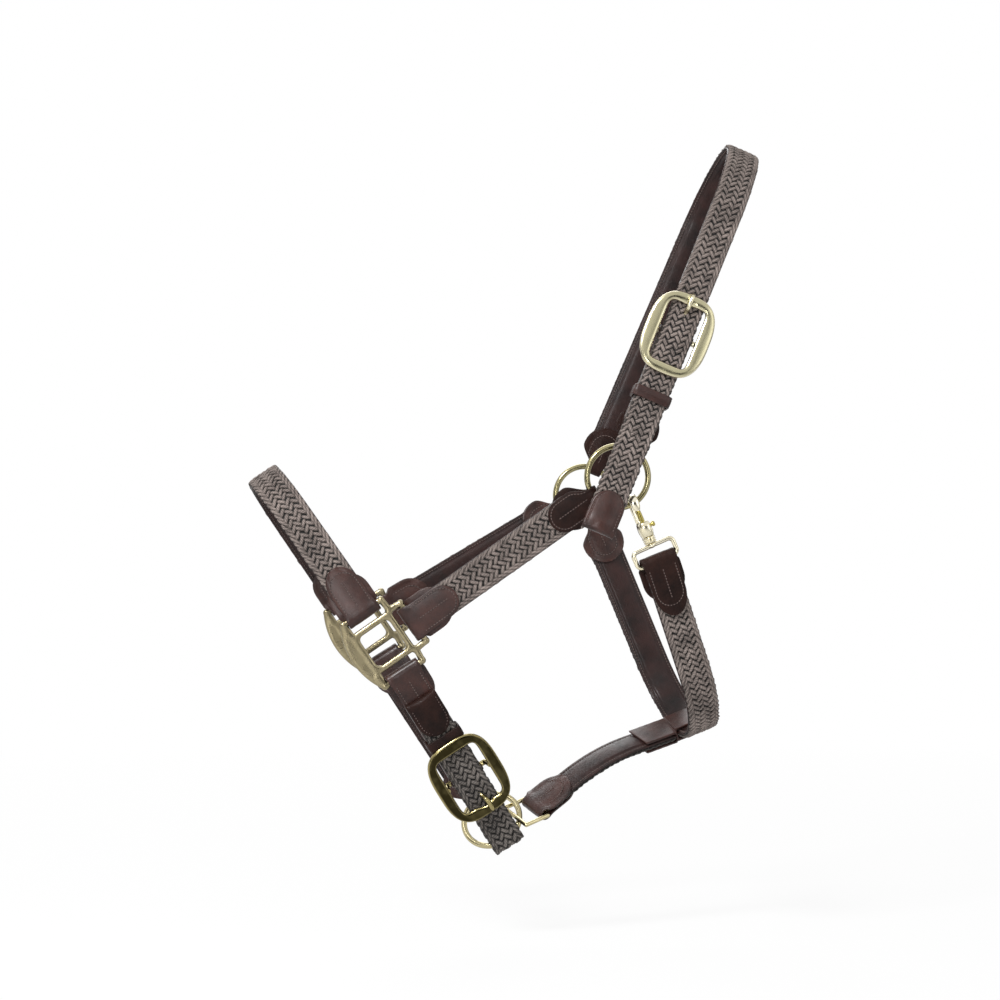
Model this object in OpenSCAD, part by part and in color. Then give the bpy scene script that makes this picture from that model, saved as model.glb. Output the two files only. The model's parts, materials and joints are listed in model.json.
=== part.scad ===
// Leather headcollar with plaited straps, shown in the shape it has on a horse's head.
// The poll rest under the headpiece is the origin. +X runs to the back of the head, +Y to
// the far side and +Z up. Every strap is a plaited outer strap over a padded lining, and
// folded leather ends, the chapes, hold it to the fittings.

/* [Straps] */
// Width of every strap
strap_w = 24; // [20:1:26]
// Thickness of the plaited outer strap
plait_t = 3.2; // [2.8:0.1:3.6]
// Thickness of the padded lining
lining_t = 2.8; // [2.6:0.1:3.2]
// Thickness of the folded leather of a chape
leather_t = 1.6; // [1.2:0.1:2]
// Width of a chape where it folds over a straight bar
fold_w = 25.6; // [20:0.2:26]
// Width of a chape where it folds over a round ring
neck_w = 10; // [8:0.5:10.5]
// Length of the outer tab of a chape
tab_out = 36; // [28:1:42]
// Length of the inner tab of a chape
tab_in = 30; // [26:1:36]
// Widest part of the inner tab of a chape
tab_in_w = 31; // [27:1:33]
// Length of the outer tab where the strap is short
short_tab = 28; // [24:1:32]
// Length of the pointed end of a noseband tab
nose_tab_point = 15; // [12:0.5:18]
// Length of the outer tab of the throatlash
throat_tab = 40; // [34:1:44]
// Length of the pointed end of the throatlash tab
throat_tab_point = 18; // [14:0.5:22]
// Length of the tabs under a buckle
buckle_tab = 22; // [18:1:24]
// Length of the rounding at the end of a blunt tab
blunt_point = 6; // [4:0.5:8]
// Length over which a chape widens from a straight bar
bar_flare = 4; // [3:0.5:6]
// Length over which a chape widens from a round ring
ring_flare = 15; // [14:0.5:17]
// Distance from the middle of a bar to the start of the strap inside its chape
strap_start = 5.5; // [5.2:0.1:6]

/* [Head size] */
// Distance between the two cheek fittings
nose_w = 110; // [100:1:125]
// Distance between the two cheek rings
jaw_w = 150; // [136:1:164]
// Height of the noseband arch above the cheek fittings
nose_rise = 141; // [132:1:156]
// Radius of the noseband over the nose
nose_r = 46; // [40:1:50]
// Distance from the poll to the near ring, down the headpiece
near_drop = 255; // [248:1:262]
// Distance from the poll to the far ring, down the headpiece
far_drop = 267; // [262:1:272]
// Radius of the headpiece over the poll
poll_r = 60; // [54:1:66]
// Length of the near cheekpiece between fitting and ring centres
cheek_len = 199; // [188:1:210]
// Slope of the headpiece from the horizontal
poll_slope = 67; // [60:1:72]
// Twist of the headpiece about its own slope
poll_twist = 2; // [0:0.5:2.5]
// Slope of the near cheekpiece
cheek_slope = 35.5; // [34:0.5:37]
// Turn of the cheek fittings from the horizontal
fitting_slope = 34.5; // [33.5:0.5:36]
// Height of the far cheek fitting above the near one, along the noseband
far_lift = 6; // [2:0.5:6.5]
// Radius of the throatlash under the throat
throat_r = 60; // [54:1:66]
// Distance from the throatlash bar down to the bottom of the loop
throat_fall = 130; // [120:1:140]
// Slope of the throatlash
throat_slope = 69; // [67:0.5:70]

/* [Cheek fittings] */
// Half the distance between opposite bars of the square
square_half = 14.6; // [13.5:0.1:16]
// Radius of the bars of the square
square_bar_r = 1.7; // [1.4:0.1:2]
// Distance from the middle of the square to a strap bar
strap_bar_at = 25.7; // [25:0.1:28]
// Radius of the strap bars
bar_r = 1.8; // [1.5:0.1:1.9]
// Half the length of a strap bar between its horns
horn_half = 15.4; // [15.2:0.1:16.5]
// Radius of the balls on the tips of the horns
horn_ball_r = 2.2; // [2:0.1:2.4]
// Thickness of the crescent plate
crescent_t = 3; // [2:0.2:3.4]
// Width of the crescent plate at its middle
crescent_w = 11; // [8:0.5:13]

/* [Rings] */
// Radius of the cheek rings to the middle of the wire
ring_r = 21.5; // [20:0.5:24]
// Radius of the ring wire
ring_wire_r = 2.1; // [1.8:0.1:2.2]
// Radius of the chin ring to the middle of the wire
chin_ring_r = 20.5; // [19:0.5:23]
// Lean of the chin ring towards the far side
chin_ring_lean = 40; // [36:1:42]
// Radius of the jowl link wire
link_wire_r = 1.6; // [1.3:0.1:1.8]
// Inside length of the jowl link
link_len = 15; // [14:0.5:20]

/* [Buckles] */
// Length of a buckle frame
buckle_len = 58; // [54:1:62]
// Width of a buckle frame
buckle_w = 44; // [41:1:48]
// Length of the opening in a buckle frame
buckle_gap_len = 43; // [40:1:46]
// Width of the opening in a buckle frame
buckle_gap_w = 27; // [26.6:0.2:30]
// Thickness of a buckle frame
buckle_t = 3.4; // [2.6:0.2:4]
// Radius of the centre bar of a buckle
centre_bar_r = 2; // [1.6:0.1:2.1]
// Radius of a buckle tongue
tongue_r = 1.5; // [1.2:0.1:1.7]
// Length in which a tongue climbs out of the strap on to the end bar
tongue_rise = 8.5; // [8:0.5:10]
// Distance from the near ring wire to the headpiece buckle
poll_buckle_at = 86; // [80:1:96]
// Distance from the cheek fitting bar to the chin buckle
chin_buckle_at = 89; // [86:1:92]
// Length of the near chin strap between fitting bar and chin ring
chin_len = 148; // [145:1:154]
// Slope of the near chin strap
chin_slope = 57.5; // [56:0.5:58]
// Inward lean of the near chin strap
chin_in = 15; // [12:1:18]
// Length of strap beyond the headpiece buckle
poll_tail = 150; // [138:1:158]
// Length of strap beyond the chin buckle
chin_tail = 69; // [62:1:72]
// Length of the leather cap on a strap end
cap_len = 30; // [24:1:30]
// Thickness of the leather of a cap
cap_t = 1.2; // [0.8:0.1:1.6]
// Width of a keeper, along the strap
keeper_w = 8; // [6:0.5:11]
// Thickness of the leather of a keeper
keeper_t = 1.8; // [1.2:0.1:2.4]
// Distance from the end of the headpiece buckle to the middle of its keeper
poll_keeper_gap = 18; // [14:1:20]
// Length of chin strap sewn back beyond the chin ring
chin_return = 28; // [24:1:34]
// Width of the slot that lets a tongue through leather and plait
tongue_slot_w = 4.4; // [4:0.1:5]
// Width of the posts that carry the centre bar of a buckle
post_w = 4; // [3:0.5:5]

/* [Snap hook] */
// Distance from the ring wire to the body of the snap
body_at = 15; // [14:0.5:17]
// Width of the body of the snap
body_w = 10; // [9:0.5:12]
// Length of the collar that holds the swivel
collar_len = 4.2; // [4:0.2:6]
// Radius of the collar that holds the swivel
collar_r = 4.6; // [4:0.2:5]
// Radius of the swivel stud
swivel_r = 1.8; // [1.4:0.1:2]
// Radius of the head of the swivel stud
swivel_head_r = 2.8; // [2.4:0.1:2.8]
// Thickness of the head of the swivel stud
swivel_head_t = 1.4; // [1:0.1:1.6]
// Distance between the two long bars of the snap loop
loop_len = 11.6; // [11:0.2:14]
// Radius of the snap loop wire
loop_wire_r = 1.6; // [1.4:0.1:1.8]
// Inside width of the snap loop
loop_w = 27; // [26.4:0.2:30]
// Inside radius of the hook
hook_in_r = 3; // [2.8:0.1:3.6]
// Thickness of the hook
hook_t = 3.4; // [2.8:0.2:3.8]
// Width of the hook
hook_w = 7; // [5:0.5:7]
// Length of the point of the hook
hook_point_len = 5.5; // [4.5:0.5:6]
// Radius of the bolt
bolt_r = 1.6; // [1.2:0.1:1.8]
// Travel of the bolt
bolt_travel = 5; // [4:0.5:6]
// Width of the thumb piece of the bolt
thumb_w = 2.6; // [2:0.2:3]
// Slope of the snap below the near ring
snap_slope = 66; // [64:0.5:68]
// Place of the snap round the near ring, below the horizontal
snap_at = 59; // [55:1:63]

/* [Jowl strap] */
// Bend of the jowl strap
jowl_bend = 22; // [12:1:30]
// Slope of the jowl link
link_slope = 12; // [6:1:14]
// Place of the jowl link round the chin ring, below its end
link_at = 20; // [18:1:24]
// Room between the jowl link and the ring wire inside it
link_room = 1.3; // [1.2:0.1:2]
// Roll of the jowl strap about its length
jowl_roll = 20; // [14:1:24]
// Length of the straight ends of the jowl strap
jowl_straight = 32; // [28:1:38]
// Length of the sewn tabs of the loop round the throatlash
loop_tab = 26; // [22:1:32]
// Room between the end of the jowl strap and the edge of the throatlash
grip_room = 4.2; // [4:0.2:6]

/* [Clearances] */
// Running clearance between pieces that move against each other
play = 0.3; // [0.2:0.05:0.4]
// Room between a straight bar and the chape folded over it
bar_slack = 0.4; // [0.2:0.1:0.8]
// Room between the centre bar of a buckle and its chape
centre_bar_slack = 0.7; // [0.5:0.1:1]
// Room between the bar of the snap loop and its chape
loop_slack = 0.2; // [0:0.1:0.3]
// Room between the bow of the hook and the ring wire
hook_room = 1; // [0.9:0.1:1.2]

/* [Hidden] */
$fn = 48;

plait_colour = [0.43, 0.39, 0.36];
leather_colour = [0.24, 0.16, 0.14];
lining_colour = [0.16, 0.11, 0.1];
brass_colour = [0.8, 0.74, 0.5];

// Steps of a bend in a strap
bend_steps = 24;
up = [0, 0, 1];
far = [0, 1, 0];
near = [0, -1, 0];

// --- Vectors and frames ---------------------------------------------------------------
// A frame is [origin, x, out]: x runs along the strap and out points away from the head.
function unit(v) = v / norm(v);
function slope_dir(a) = [cos(a), 0, sin(a)];
function square_to(v, x) = unit(v - (v * x) * x);
function frame(origin, x, out) = [origin, unit(x), square_to(out, unit(x))];
function across(f) = cross(f[1], f[2]);
function at(f, p) = f[0] + p.x * f[1] + p.y * f[2] + p.z * across(f);
function shift(f, p) = [at(f, p), f[1], f[2]];
function reversed(f) = [f[0], -f[1], f[2]];
// Direction with its sideways part left out, which is how it lies in a cheek ring
function in_ring(v) = unit([v.x, 0, v.z]);
function turned(a) = [cos(a), sin(a)];

module place(f) {
  z = across(f);
  multmatrix([
    [f[1].x, f[2].x, z.x, f[0].x],
    [f[1].y, f[2].y, z.y, f[0].y],
    [f[1].z, f[2].z, z.z, f[0].z],
    [0, 0, 0, 1]
  ]) children();
}

// --- Strap stack: heights above the joint between plait and lining ----------------------
stack_mid = (plait_t - lining_t) / 2;
fold_in_r = (plait_t + lining_t) / 2;
fold_out_r = fold_in_r + leather_t;
// The plait of a buckled tail lies on the outer tab of the chape below it
tail_y = fold_out_r + stack_mid;
tail_top = tail_y + plait_t;
// A buckle frame clears the strap below it
frame_y = tail_top + play;
post_at = (buckle_gap_w + buckle_w) / 4 - 1;

// --- Arches: a strap drawn tight over a round, in its own plane [across, up] --------------
function touch_angle(end, centre, r) =
  let (d = end - centre, a = atan2(d.y, d.x) + (d.x < 0 ? -1 : 1) * acos(r / norm(d)))
  a < -90 ? a + 360 : a;
function on_circle(centre, r, a) = centre + r * [cos(a), sin(a)];
function leg_dir(end, centre, r) = unit(on_circle(centre, r, touch_angle(end, centre, r)) - end);
function arch_path(left, right, centre, r) =
  let (a0 = touch_angle(left, centre, r), a1 = touch_angle(right, centre, r))
  concat(
    [left],
    [for (i = [0:bend_steps]) on_circle(centre, r, a0 + (a1 - a0) * i / bend_steps)],
    [right]
  );

// Outline of a strap layer between two offsets of a path; a positive offset lies outside
function step_normal(a, b) = let (d = unit(b - a)) [-d.y, d.x];
function path_normal(p, i) =
  let (
    n = len(p),
    before = step_normal(p[max(i - 1, 0)], p[max(i, 1)]),
    after = step_normal(p[min(i, n - 2)], p[min(i + 1, n - 1)]),
    mid = unit(before + after)
  )
  mid / (mid * before);
function offset_path(p, t) = [for (i = [0:len(p) - 1]) p[i] + t * path_normal(p, i)];
function band_outline(p, t0, t1) =
  let (outer = offset_path(p, t1), inner = offset_path(p, t0))
  concat(inner, [for (i = [len(outer) - 1:-1:0]) outer[i]]);

module band(p, t0, t1) {
  linear_extrude(strap_w, center = true) polygon(band_outline(p, t0, t1));
}

module plait(p) {
  color(plait_colour) band(p, 0, plait_t);
}

module lining(p) {
  color(lining_colour) band(p, -lining_t, 0);
}

// Direction and point of a plane that holds an arch: loop is [origin, across, up]
function loop_vec(loop, v) = v.x * loop[1] + v.y * loop[2];
function loop_pt(loop, p) = loop[0] + loop_vec(loop, p);
// Frames of the straight legs of an arch, with out pointing out of the arch
function near_leg_frame(loop, foot, leg) =
  frame(loop_pt(loop, foot), loop_vec(loop, leg), loop_vec(loop, [-leg.y, leg.x]));
function far_leg_frame(loop, foot, leg) =
  frame(loop_pt(loop, foot), loop_vec(loop, leg), loop_vec(loop, [leg.y, -leg.x]));

// --- Headpiece ------------------------------------------------------------------------------
poll_dir = slope_dir(poll_slope);
poll_far =
  cos(poll_twist) * far + sin(poll_twist) * [sin(poll_slope), 0, -cos(poll_slope)];
poll_loop = [lining_t * poll_dir, poll_far, poll_dir];
poll_centre = [0, -poll_r];
// The buckled near leg lies outside the strap that carries its buckle
near_leg_foot = [-(jaw_w / 2 + tail_y), ring_r - near_drop];
near_leg = leg_dir(near_leg_foot, poll_centre, poll_r);
far_leg_foot = [jaw_w / 2, ring_r - far_drop];
far_leg = leg_dir(far_leg_foot, poll_centre, poll_r);
near_poll = shift(near_leg_frame(poll_loop, near_leg_foot, near_leg), [0, -tail_y, 0]);
far_poll = far_leg_frame(poll_loop, far_leg_foot, far_leg);
near_ring_at = near_poll[0] - ring_r * in_ring(near_poll[1]);
far_ring_at = far_poll[0] - ring_r * in_ring(far_poll[1]);
// Where the near leg ends, measured up from its foot
poll_tip_up = poll_buckle_at - poll_tail;
poll_keeper_at = poll_buckle_at - buckle_len / 2 - poll_keeper_gap;
// The headpiece lining starts above the buckle
poll_lining_up = poll_buckle_at + buckle_len / 2 + 6;
far_poll_foot = far_leg_foot + strap_start * far_leg;
headpiece_path = arch_path(
  near_leg_foot + poll_tip_up * near_leg, far_poll_foot, poll_centre, poll_r
);
headpiece_lining_path = arch_path(
  near_leg_foot + poll_lining_up * near_leg, far_poll_foot, poll_centre, poll_r
);

// --- Cheekpieces and cheek fittings ------------------------------------------------------------
cheek_dir = slope_dir(cheek_slope);
nose_dir = slope_dir(fitting_slope + 90);
fitting_at = near_ring_at - cheek_len * cheek_dir + ((jaw_w - nose_w) / 2) * far;
fitting_dir = slope_dir(fitting_slope);
near_fitting = frame(fitting_at, fitting_dir, near);
function to_far(p) = [p.x, -p.y, p.z] + far_lift * nose_dir;
near_cheek_bar = fitting_at + strap_bar_at * fitting_dir;
far_cheek_bar = to_far(near_cheek_bar);
near_cheek_wire = near_ring_at - ring_r * in_ring(near_ring_at - near_cheek_bar);
far_cheek_wire = far_ring_at - ring_r * in_ring(far_ring_at - far_cheek_bar);
near_cheek = frame(near_cheek_bar, near_cheek_wire - near_cheek_bar, near);
far_cheek = frame(far_cheek_bar, far_cheek_wire - far_cheek_bar, far);
near_cheek_span = norm(near_cheek_wire - near_cheek_bar);
far_cheek_span = norm(far_cheek_wire - far_cheek_bar);

// --- Noseband -------------------------------------------------------------------------------------
nose_loop = [[fitting_at.x, 0, fitting_at.z], far, nose_dir];
nose_centre = [0, nose_rise - nose_r];
nose_foot = [-nose_w / 2, strap_bar_at];
nose_far_foot = [nose_w / 2, strap_bar_at + far_lift];
nose_leg = leg_dir(nose_foot, nose_centre, nose_r);
nose_far_leg = leg_dir(nose_far_foot, nose_centre, nose_r);
nose_path = arch_path(
  nose_foot + strap_start * nose_leg, nose_far_foot + strap_start * nose_far_leg,
  nose_centre, nose_r
);
near_nose = near_leg_frame(nose_loop, nose_foot, nose_leg);
far_nose = far_leg_frame(nose_loop, nose_far_foot, nose_far_leg);

// --- Snap hook and throatlash ---------------------------------------------------------------------
// Places along the snap, measured from the ring wire: hook, point, bolt, collar and loop
hook_bear = hook_in_r - ring_wire_r - hook_room;
hook_point = hook_bear + hook_point_len;
thumb_at = body_at + 1.8;
bolt_end = thumb_at + thumb_w + 0.2;
bore_end = bolt_end + bolt_travel + 0.4;
collar_at = bore_end + 1;
swivel_at = collar_at + 1.2;
loop_at = collar_at + collar_len + loop_wire_r + 0.4;
snap_len = loop_at + loop_len;
bolt_y = hook_in_r + hook_t / 2;
snap_dir = slope_dir(-snap_slope);
snap = frame(near_ring_at + ring_r * slope_dir(-snap_at), snap_dir, near);
throat_bar = at(snap, [snap_len, 0, 0]);
throat_down = slope_dir(-throat_slope);
throat_span = far_ring_at + ring_r * throat_down - throat_bar;
throat_half = norm(throat_span - (throat_span * throat_down) * throat_down) / 2;
throat_across = square_to(throat_span, throat_down);
throat_loop = [throat_bar + throat_half * throat_across, throat_across, throat_down];
throat_centre = [0, throat_fall - throat_r];
throat_foot = [-throat_half, 0];
throat_far_foot = [throat_half, throat_span * throat_down];
throat_leg = leg_dir(throat_foot, throat_centre, throat_r);
throat_far_leg = leg_dir(throat_far_foot, throat_centre, throat_r);
throat_path = arch_path(
  throat_foot + strap_start * throat_leg, throat_far_foot + strap_start * throat_far_leg,
  throat_centre, throat_r
);
near_throat = near_leg_frame(throat_loop, throat_foot, throat_leg);
far_throat = far_leg_frame(throat_loop, throat_far_foot, throat_far_leg);

// --- Chin straps and chin ring ----------------------------------------------------------------------
chin_bar = fitting_at - strap_bar_at * nose_dir;
chin_dir = cos(chin_in) * slope_dir(-chin_slope) + sin(chin_in) * far;
chin = frame(chin_bar, chin_dir, near);
// The plait of the chin strap turns round the ring wire
turn_in_r = ring_wire_r + 0.9;
turn_y = tail_y - turn_in_r;
chin_turn = at(chin, [chin_len, turn_y, 0]);
chin_ring_in = cos(chin_ring_lean) * nose_dir + sin(chin_ring_lean) * far;
chin_ring_at = chin_turn + chin_ring_r * chin_ring_in;
chin_ring_far = chin_turn + 2 * chin_ring_r * chin_ring_in;
chin_ring_frame = frame(chin_ring_at, fitting_dir, cross(chin_ring_in, fitting_dir));
far_chin_bar = to_far(chin_bar);
far_chin = frame(far_chin_bar, chin_ring_far - far_chin_bar, far);
far_chin_span = norm(chin_ring_far - far_chin_bar);
chin_keeper_at = chin_buckle_at - buckle_len / 2 - keeper_w / 2 - 0.4;

// --- Jowl link and jowl strap ------------------------------------------------------------------------
link_wire_gap = link_wire_r + ring_wire_r + link_room;
link_bar_gap = link_len + 2 * link_wire_r;
link_dir = slope_dir(link_slope);
link_wire_at = chin_ring_at + chin_ring_r * (cos(link_at) * fitting_dir - sin(link_at) * chin_ring_in);
jowl_bar = link_wire_at + (link_bar_gap - link_wire_gap) * link_dir;
// The jowl strap meets the throatlash where that strap has the same roll
throat_grip = frame(
  loop_pt(throat_loop, on_circle(throat_centre, throat_r, 90 - jowl_roll)),
  cross(throat_down, throat_across), loop_vec(throat_loop, turned(90 - jowl_roll))
);
jowl_end = at(throat_grip, [-strap_w / 2 - grip_room, 0, 0]);
jowl = frame(jowl_bar, jowl_end - jowl_bar, sin(jowl_roll) * far - cos(jowl_roll) * up);
jowl_span = norm(jowl_end - jowl_bar);
jowl_link_frame =
  let (z = across(jowl), x = square_to(link_dir, z)) [jowl_bar, x, cross(z, x)];
// Inside of the loop round the throatlash, which is bent where it passes
grip_high = plait_t + 0.1;
grip_low = -lining_t - strap_w ^ 2 / (8 * (throat_r - lining_t)) - 0.2;
jowl_bend_r = (jowl_span - 2 * jowl_straight * cos(jowl_bend / 2)) / (2 * sin(jowl_bend / 2));
jowl_bend_at = jowl_straight * turned(-jowl_bend / 2) + jowl_bend_r * turned(90 - jowl_bend / 2);
jowl_path = concat(
  [strap_start * turned(-jowl_bend / 2)],
  [for (i = [0:bend_steps])
    jowl_bend_at + jowl_bend_r * turned(-90 - jowl_bend / 2 + jowl_bend * i / bend_steps)],
  [[jowl_span, 0]]
);
jowl_first = frame(
  jowl_bar, at(jowl, [cos(jowl_bend / 2), -sin(jowl_bend / 2), 0]) - jowl_bar, jowl[2]
);
jowl_last = frame(
  jowl_end, jowl_end - at(jowl, [jowl_span - cos(jowl_bend / 2), -sin(jowl_bend / 2), 0]), jowl[2]
);

// --- Shapes that repeat --------------------------------------------------------------------------------
// A round rod between two points
module rod(a, b, r) {
  f = frame(a, b - a, abs(unit(b - a).y) < 0.9 ? far : up);
  place(f) rotate([0, 90, 0]) cylinder(h = norm(b - a), r = r);
}

// A rod through several points, with round joints
module wire(points, r) {
  for (i = [0:len(points) - 2]) rod(points[i], points[i + 1], r);
  for (p = points) translate(p) sphere(r);
}

// A flat piece of thickness t whose outline is drawn in x and z, from height y up
module sheet(y, t) {
  translate([0, y + t, 0]) rotate([90, 0, 0]) linear_extrude(t) children();
}

// Outline of a tab: w0 wide at the fold, w1 wide beyond flare, with a round tip
function tab_outline(w0, w1, flare, length, tip) =
  let (t = min(tip, length - flare - 0.5))
  concat(
    [[0, -w0 / 2], [flare, -w1 / 2]],
    [for (a = [-90:7.5:90]) [length - t + t * cos(a), w1 / 2 * sin(a)]],
    [[flare, w1 / 2], [0, w0 / 2]]
  );

// A chape: leather folded over a bar at the origin, with one tab on each face of the strap
module chape(w, slack, flare, out_len, out_tip, in_len, in_w = tab_in_w) {
  color(leather_colour) translate([slack, 0, 0]) {
    translate([0, stack_mid, 0]) linear_extrude(w, center = true) intersection() {
      difference() {
        circle(fold_out_r);
        circle(fold_in_r);
      }
      translate([-fold_out_r, -fold_out_r]) square([fold_out_r, 2 * fold_out_r]);
    }
    sheet(plait_t, leather_t) polygon(tab_outline(w, strap_w, flare, out_len, out_tip));
    sheet(-lining_t - leather_t, leather_t)
      polygon(tab_outline(w, in_w, flare, in_len, in_w / 2));
  }
}

// A chape on the straight bar of a fitting
module bar_chape(out_len = tab_out, out_tip = strap_w / 2, slack = bar_slack) {
  chape(fold_w, slack, bar_flare, out_len, out_tip, tab_in);
}

// A chape on a round ring, narrow at its fold
module ring_chape(out_len = tab_out, out_tip = strap_w / 2) {
  chape(neck_w, -play, ring_flare, out_len, out_tip, tab_in + 2);
}

// A short chape on the centre bar of a buckle, slotted for the tongue
module buckle_chape() {
  difference() {
    chape(fold_w, centre_bar_slack, bar_flare, buckle_tab, blunt_point, buckle_tab, strap_w);
    cube([3 * fold_in_r, 4 * fold_out_r, tongue_slot_w], center = true);
  }
}

// A straight layer of strap between two places along x
module straight(x0, x1, y, t) {
  translate([x0, y, -strap_w / 2]) cube([x1 - x0, t, strap_w]);
}

// A ring of round wire that lies in the x and z plane of its frame
module round_ring(f, r) {
  color(brass_colour) place(f) rotate([90, 0, 0]) rotate_extrude() translate([r, 0])
    circle(ring_wire_r);
}

// Outline with flat sides and full corners; n sets how square it is
function soft_outline(a, b, n) = [
  for (t = [0:5:355])
    [a * sign(cos(t)) * abs(cos(t)) ^ (2 / n), b * sign(sin(t)) * abs(sin(t)) ^ (2 / n)]
];

// A buckle frame: centre bar at the origin, the strap comes in from +x under the end bar
module buckle_frame() {
  color(brass_colour) {
    difference() {
      sheet(frame_y, buckle_t) difference() {
        polygon(soft_outline(buckle_len / 2, buckle_w / 2, 2.7));
        polygon(soft_outline(buckle_gap_len / 2, buckle_gap_w / 2, 6));
      }
      translate([buckle_len / 4, frame_y + buckle_t, 0]) rotate([0, 90, 0])
        cylinder(h = buckle_len / 2, r = tongue_r + play);
    }
    for (side = [-1, 1]) {
      translate([-post_w / 2, -centre_bar_r, side * post_at - post_w / 2])
        cube([post_w, frame_y + centre_bar_r, post_w]);
    }
    cylinder(h = 2 * post_at, r = centre_bar_r, center = true);
  }
}

// A buckle tongue: an eye round the centre bar and a bent arm over the end bar
module buckle_tongue() {
  tip = buckle_len / 2;
  rest_y = frame_y + buckle_t + tongue_r - 0.5;
  eye_r = centre_bar_r + play / 2;
  low_y = tail_y + plait_t / 2;
  arm = [
    [0.5, eye_r + 0.5],
    [2.6, low_y - 2],
    [5.5, low_y - 0.2],
    [tip - tongue_rise - 9, low_y],
    [tip - 9, rest_y - 0.3],
    [tip + 1, rest_y],
    [tip + 3.2, rest_y - 1.2],
    [tip + 4.2, rest_y - 3]
  ];
  color(brass_colour) linear_extrude(2 * tongue_r, center = true) {
    difference() {
      circle(eye_r + 1.4);
      circle(eye_r);
    }
    difference() {
      polygon(band_outline(arm, -tongue_r, tongue_r));
      circle(eye_r);
    }
  }
}

// A slot in a strap for the tongue to pass
module tongue_slot() {
  slot_end = buckle_len / 2 - 9 - tongue_rise / 3;
  translate([-2 * fold_in_r, 0, -tongue_slot_w / 2])
    cube([2 * fold_in_r + slot_end, tail_top + 1, tongue_slot_w]);
}

// A leather cap on the end of a strap: its tip is at the origin and it runs along +x
module strap_cap() {
  color(leather_colour) {
    sheet(tail_top, cap_t)
      polygon(tab_outline(strap_w, strap_w, 1, cap_len, strap_w / 2));
    translate([-cap_t, tail_y, -strap_w / 2]) cube([cap_t, plait_t + cap_t, strap_w]);
  }
}

// A keeper: a flat loop of leather round the straps
module keeper(low, gap) {
  color(leather_colour) difference() {
    keeper_block(low - gap - keeper_t, tail_top + gap + keeper_t, strap_w + 2 * (gap + keeper_t), 0);
    keeper_block(low - gap, tail_top + gap, strap_w + 2 * gap, 1);
  }
}

module keeper_block(y0, y1, w, extra) {
  translate([-keeper_w / 2 - extra, y0, -w / 2]) cube([keeper_w + 2 * extra, y1 - y0, w]);
}

// --- Cheek fittings ----------------------------------------------------------------------------------------
// A square of bars with three strap bars on horns and a crescent plate on the fourth side
module cheek_fitting() {
  h = square_half;
  r = square_bar_r;
  tip = strap_bar_at;
  bar_half = horn_half + 0.4;
  color(brass_colour) {
    sheet(-r, 2 * r) {
      difference() {
        polygon(round_square(h + r, 2.4));
        polygon(round_square(h - r, 4));
      }
      for (side = [-1, 1]) {
        // Horns at the cheek corners and at the crescent corners
        horn([h, side * h], [h + 3.4, side * (h + 2)], [tip, side * bar_half]);
        horn([h, side * h], [h + 2, side * (h + 3.4)], [bar_half, side * tip]);
        horn([-h, side * h], [-h - 2, side * (h + 3.4)], [-bar_half, side * tip]);
      }
    }
    // Strap bars with balls on their ends: cheek, noseband and chin
    strap_bar([tip, 0, 0], 0, bar_half);
    for (side = [-1, 1]) strap_bar([0, 0, side * tip], 90, bar_half);
    crescent();
  }
}

// Square outline with round corners
function round_square(half, corner) = [
  for (q = [0:90:270], a = [0:18:90])
    [half - corner, half - corner] * [[cos(q), sin(q)], [-sin(q), cos(q)]] + corner * turned(q + a)
];

// A horn of even width through three points
module horn(a, b, c) {
  polygon(band_outline([a, b, c], -square_bar_r, square_bar_r));
}

module strap_bar(middle, turn, half) {
  translate(middle) rotate([0, turn, 0]) {
    cylinder(h = 2 * half, r = bar_r, center = true);
    for (side = [-1, 1]) translate([0, 0, side * half]) sphere(horn_ball_r);
  }
}

module crescent() {
  inner = square_half - 1;
  tip_z = strap_bar_at + 2;
  rise = crescent_w - 3;
  r = (tip_z ^ 2 + rise ^ 2) / (2 * rise);
  sheet(-crescent_t / 2, crescent_t) intersection() {
    translate([r - inner - crescent_w, 0]) circle(r, $fn = 96);
    translate([-inner - crescent_w, -tip_z]) square([crescent_w, 2 * tip_z]);
  }
}

module near_cheek_fitting() {
  place(near_fitting) cheek_fitting();
}

module far_cheek_fitting() {
  translate(far_lift * nose_dir) mirror([0, 1, 0]) place(near_fitting) cheek_fitting();
}

// --- Noseband ------------------------------------------------------------------------------------------------
module noseband_plait() {
  place(nose_loop) plait(nose_path);
}

module noseband_lining() {
  place(nose_loop) lining(nose_path);
}

module noseband_near_chape() {
  place(near_nose) bar_chape(tab_out, nose_tab_point);
}

module noseband_far_chape() {
  place(far_nose) bar_chape(tab_out, nose_tab_point);
}

// --- Cheekpieces -----------------------------------------------------------------------------------------------
module near_cheek_plait() {
  color(plait_colour) place(near_cheek)
    straight(strap_start, near_cheek_span - strap_start, 0, plait_t);
}

module near_cheek_lining() {
  color(lining_colour) place(near_cheek)
    straight(strap_start, near_cheek_span - strap_start, -lining_t, lining_t);
}

module near_cheek_lower_chape() {
  place(near_cheek) bar_chape();
}

module near_cheek_upper_chape() {
  place(reversed(shift(near_cheek, [near_cheek_span, 0, 0]))) ring_chape();
}

module far_cheek_plait() {
  color(plait_colour) place(far_cheek)
    straight(strap_start, far_cheek_span - strap_start, 0, plait_t);
}

module far_cheek_lining() {
  color(lining_colour) place(far_cheek)
    straight(strap_start, far_cheek_span - strap_start, -lining_t, lining_t);
}

module far_cheek_lower_chape() {
  place(far_cheek) bar_chape(slack = 0);
}

module far_cheek_upper_chape() {
  place(reversed(shift(far_cheek, [far_cheek_span, 0, 0]))) ring_chape();
}

// --- Cheek rings --------------------------------------------------------------------------------------------------
module near_ring() {
  round_ring(frame(near_ring_at, cheek_dir, near), ring_r);
}

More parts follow.
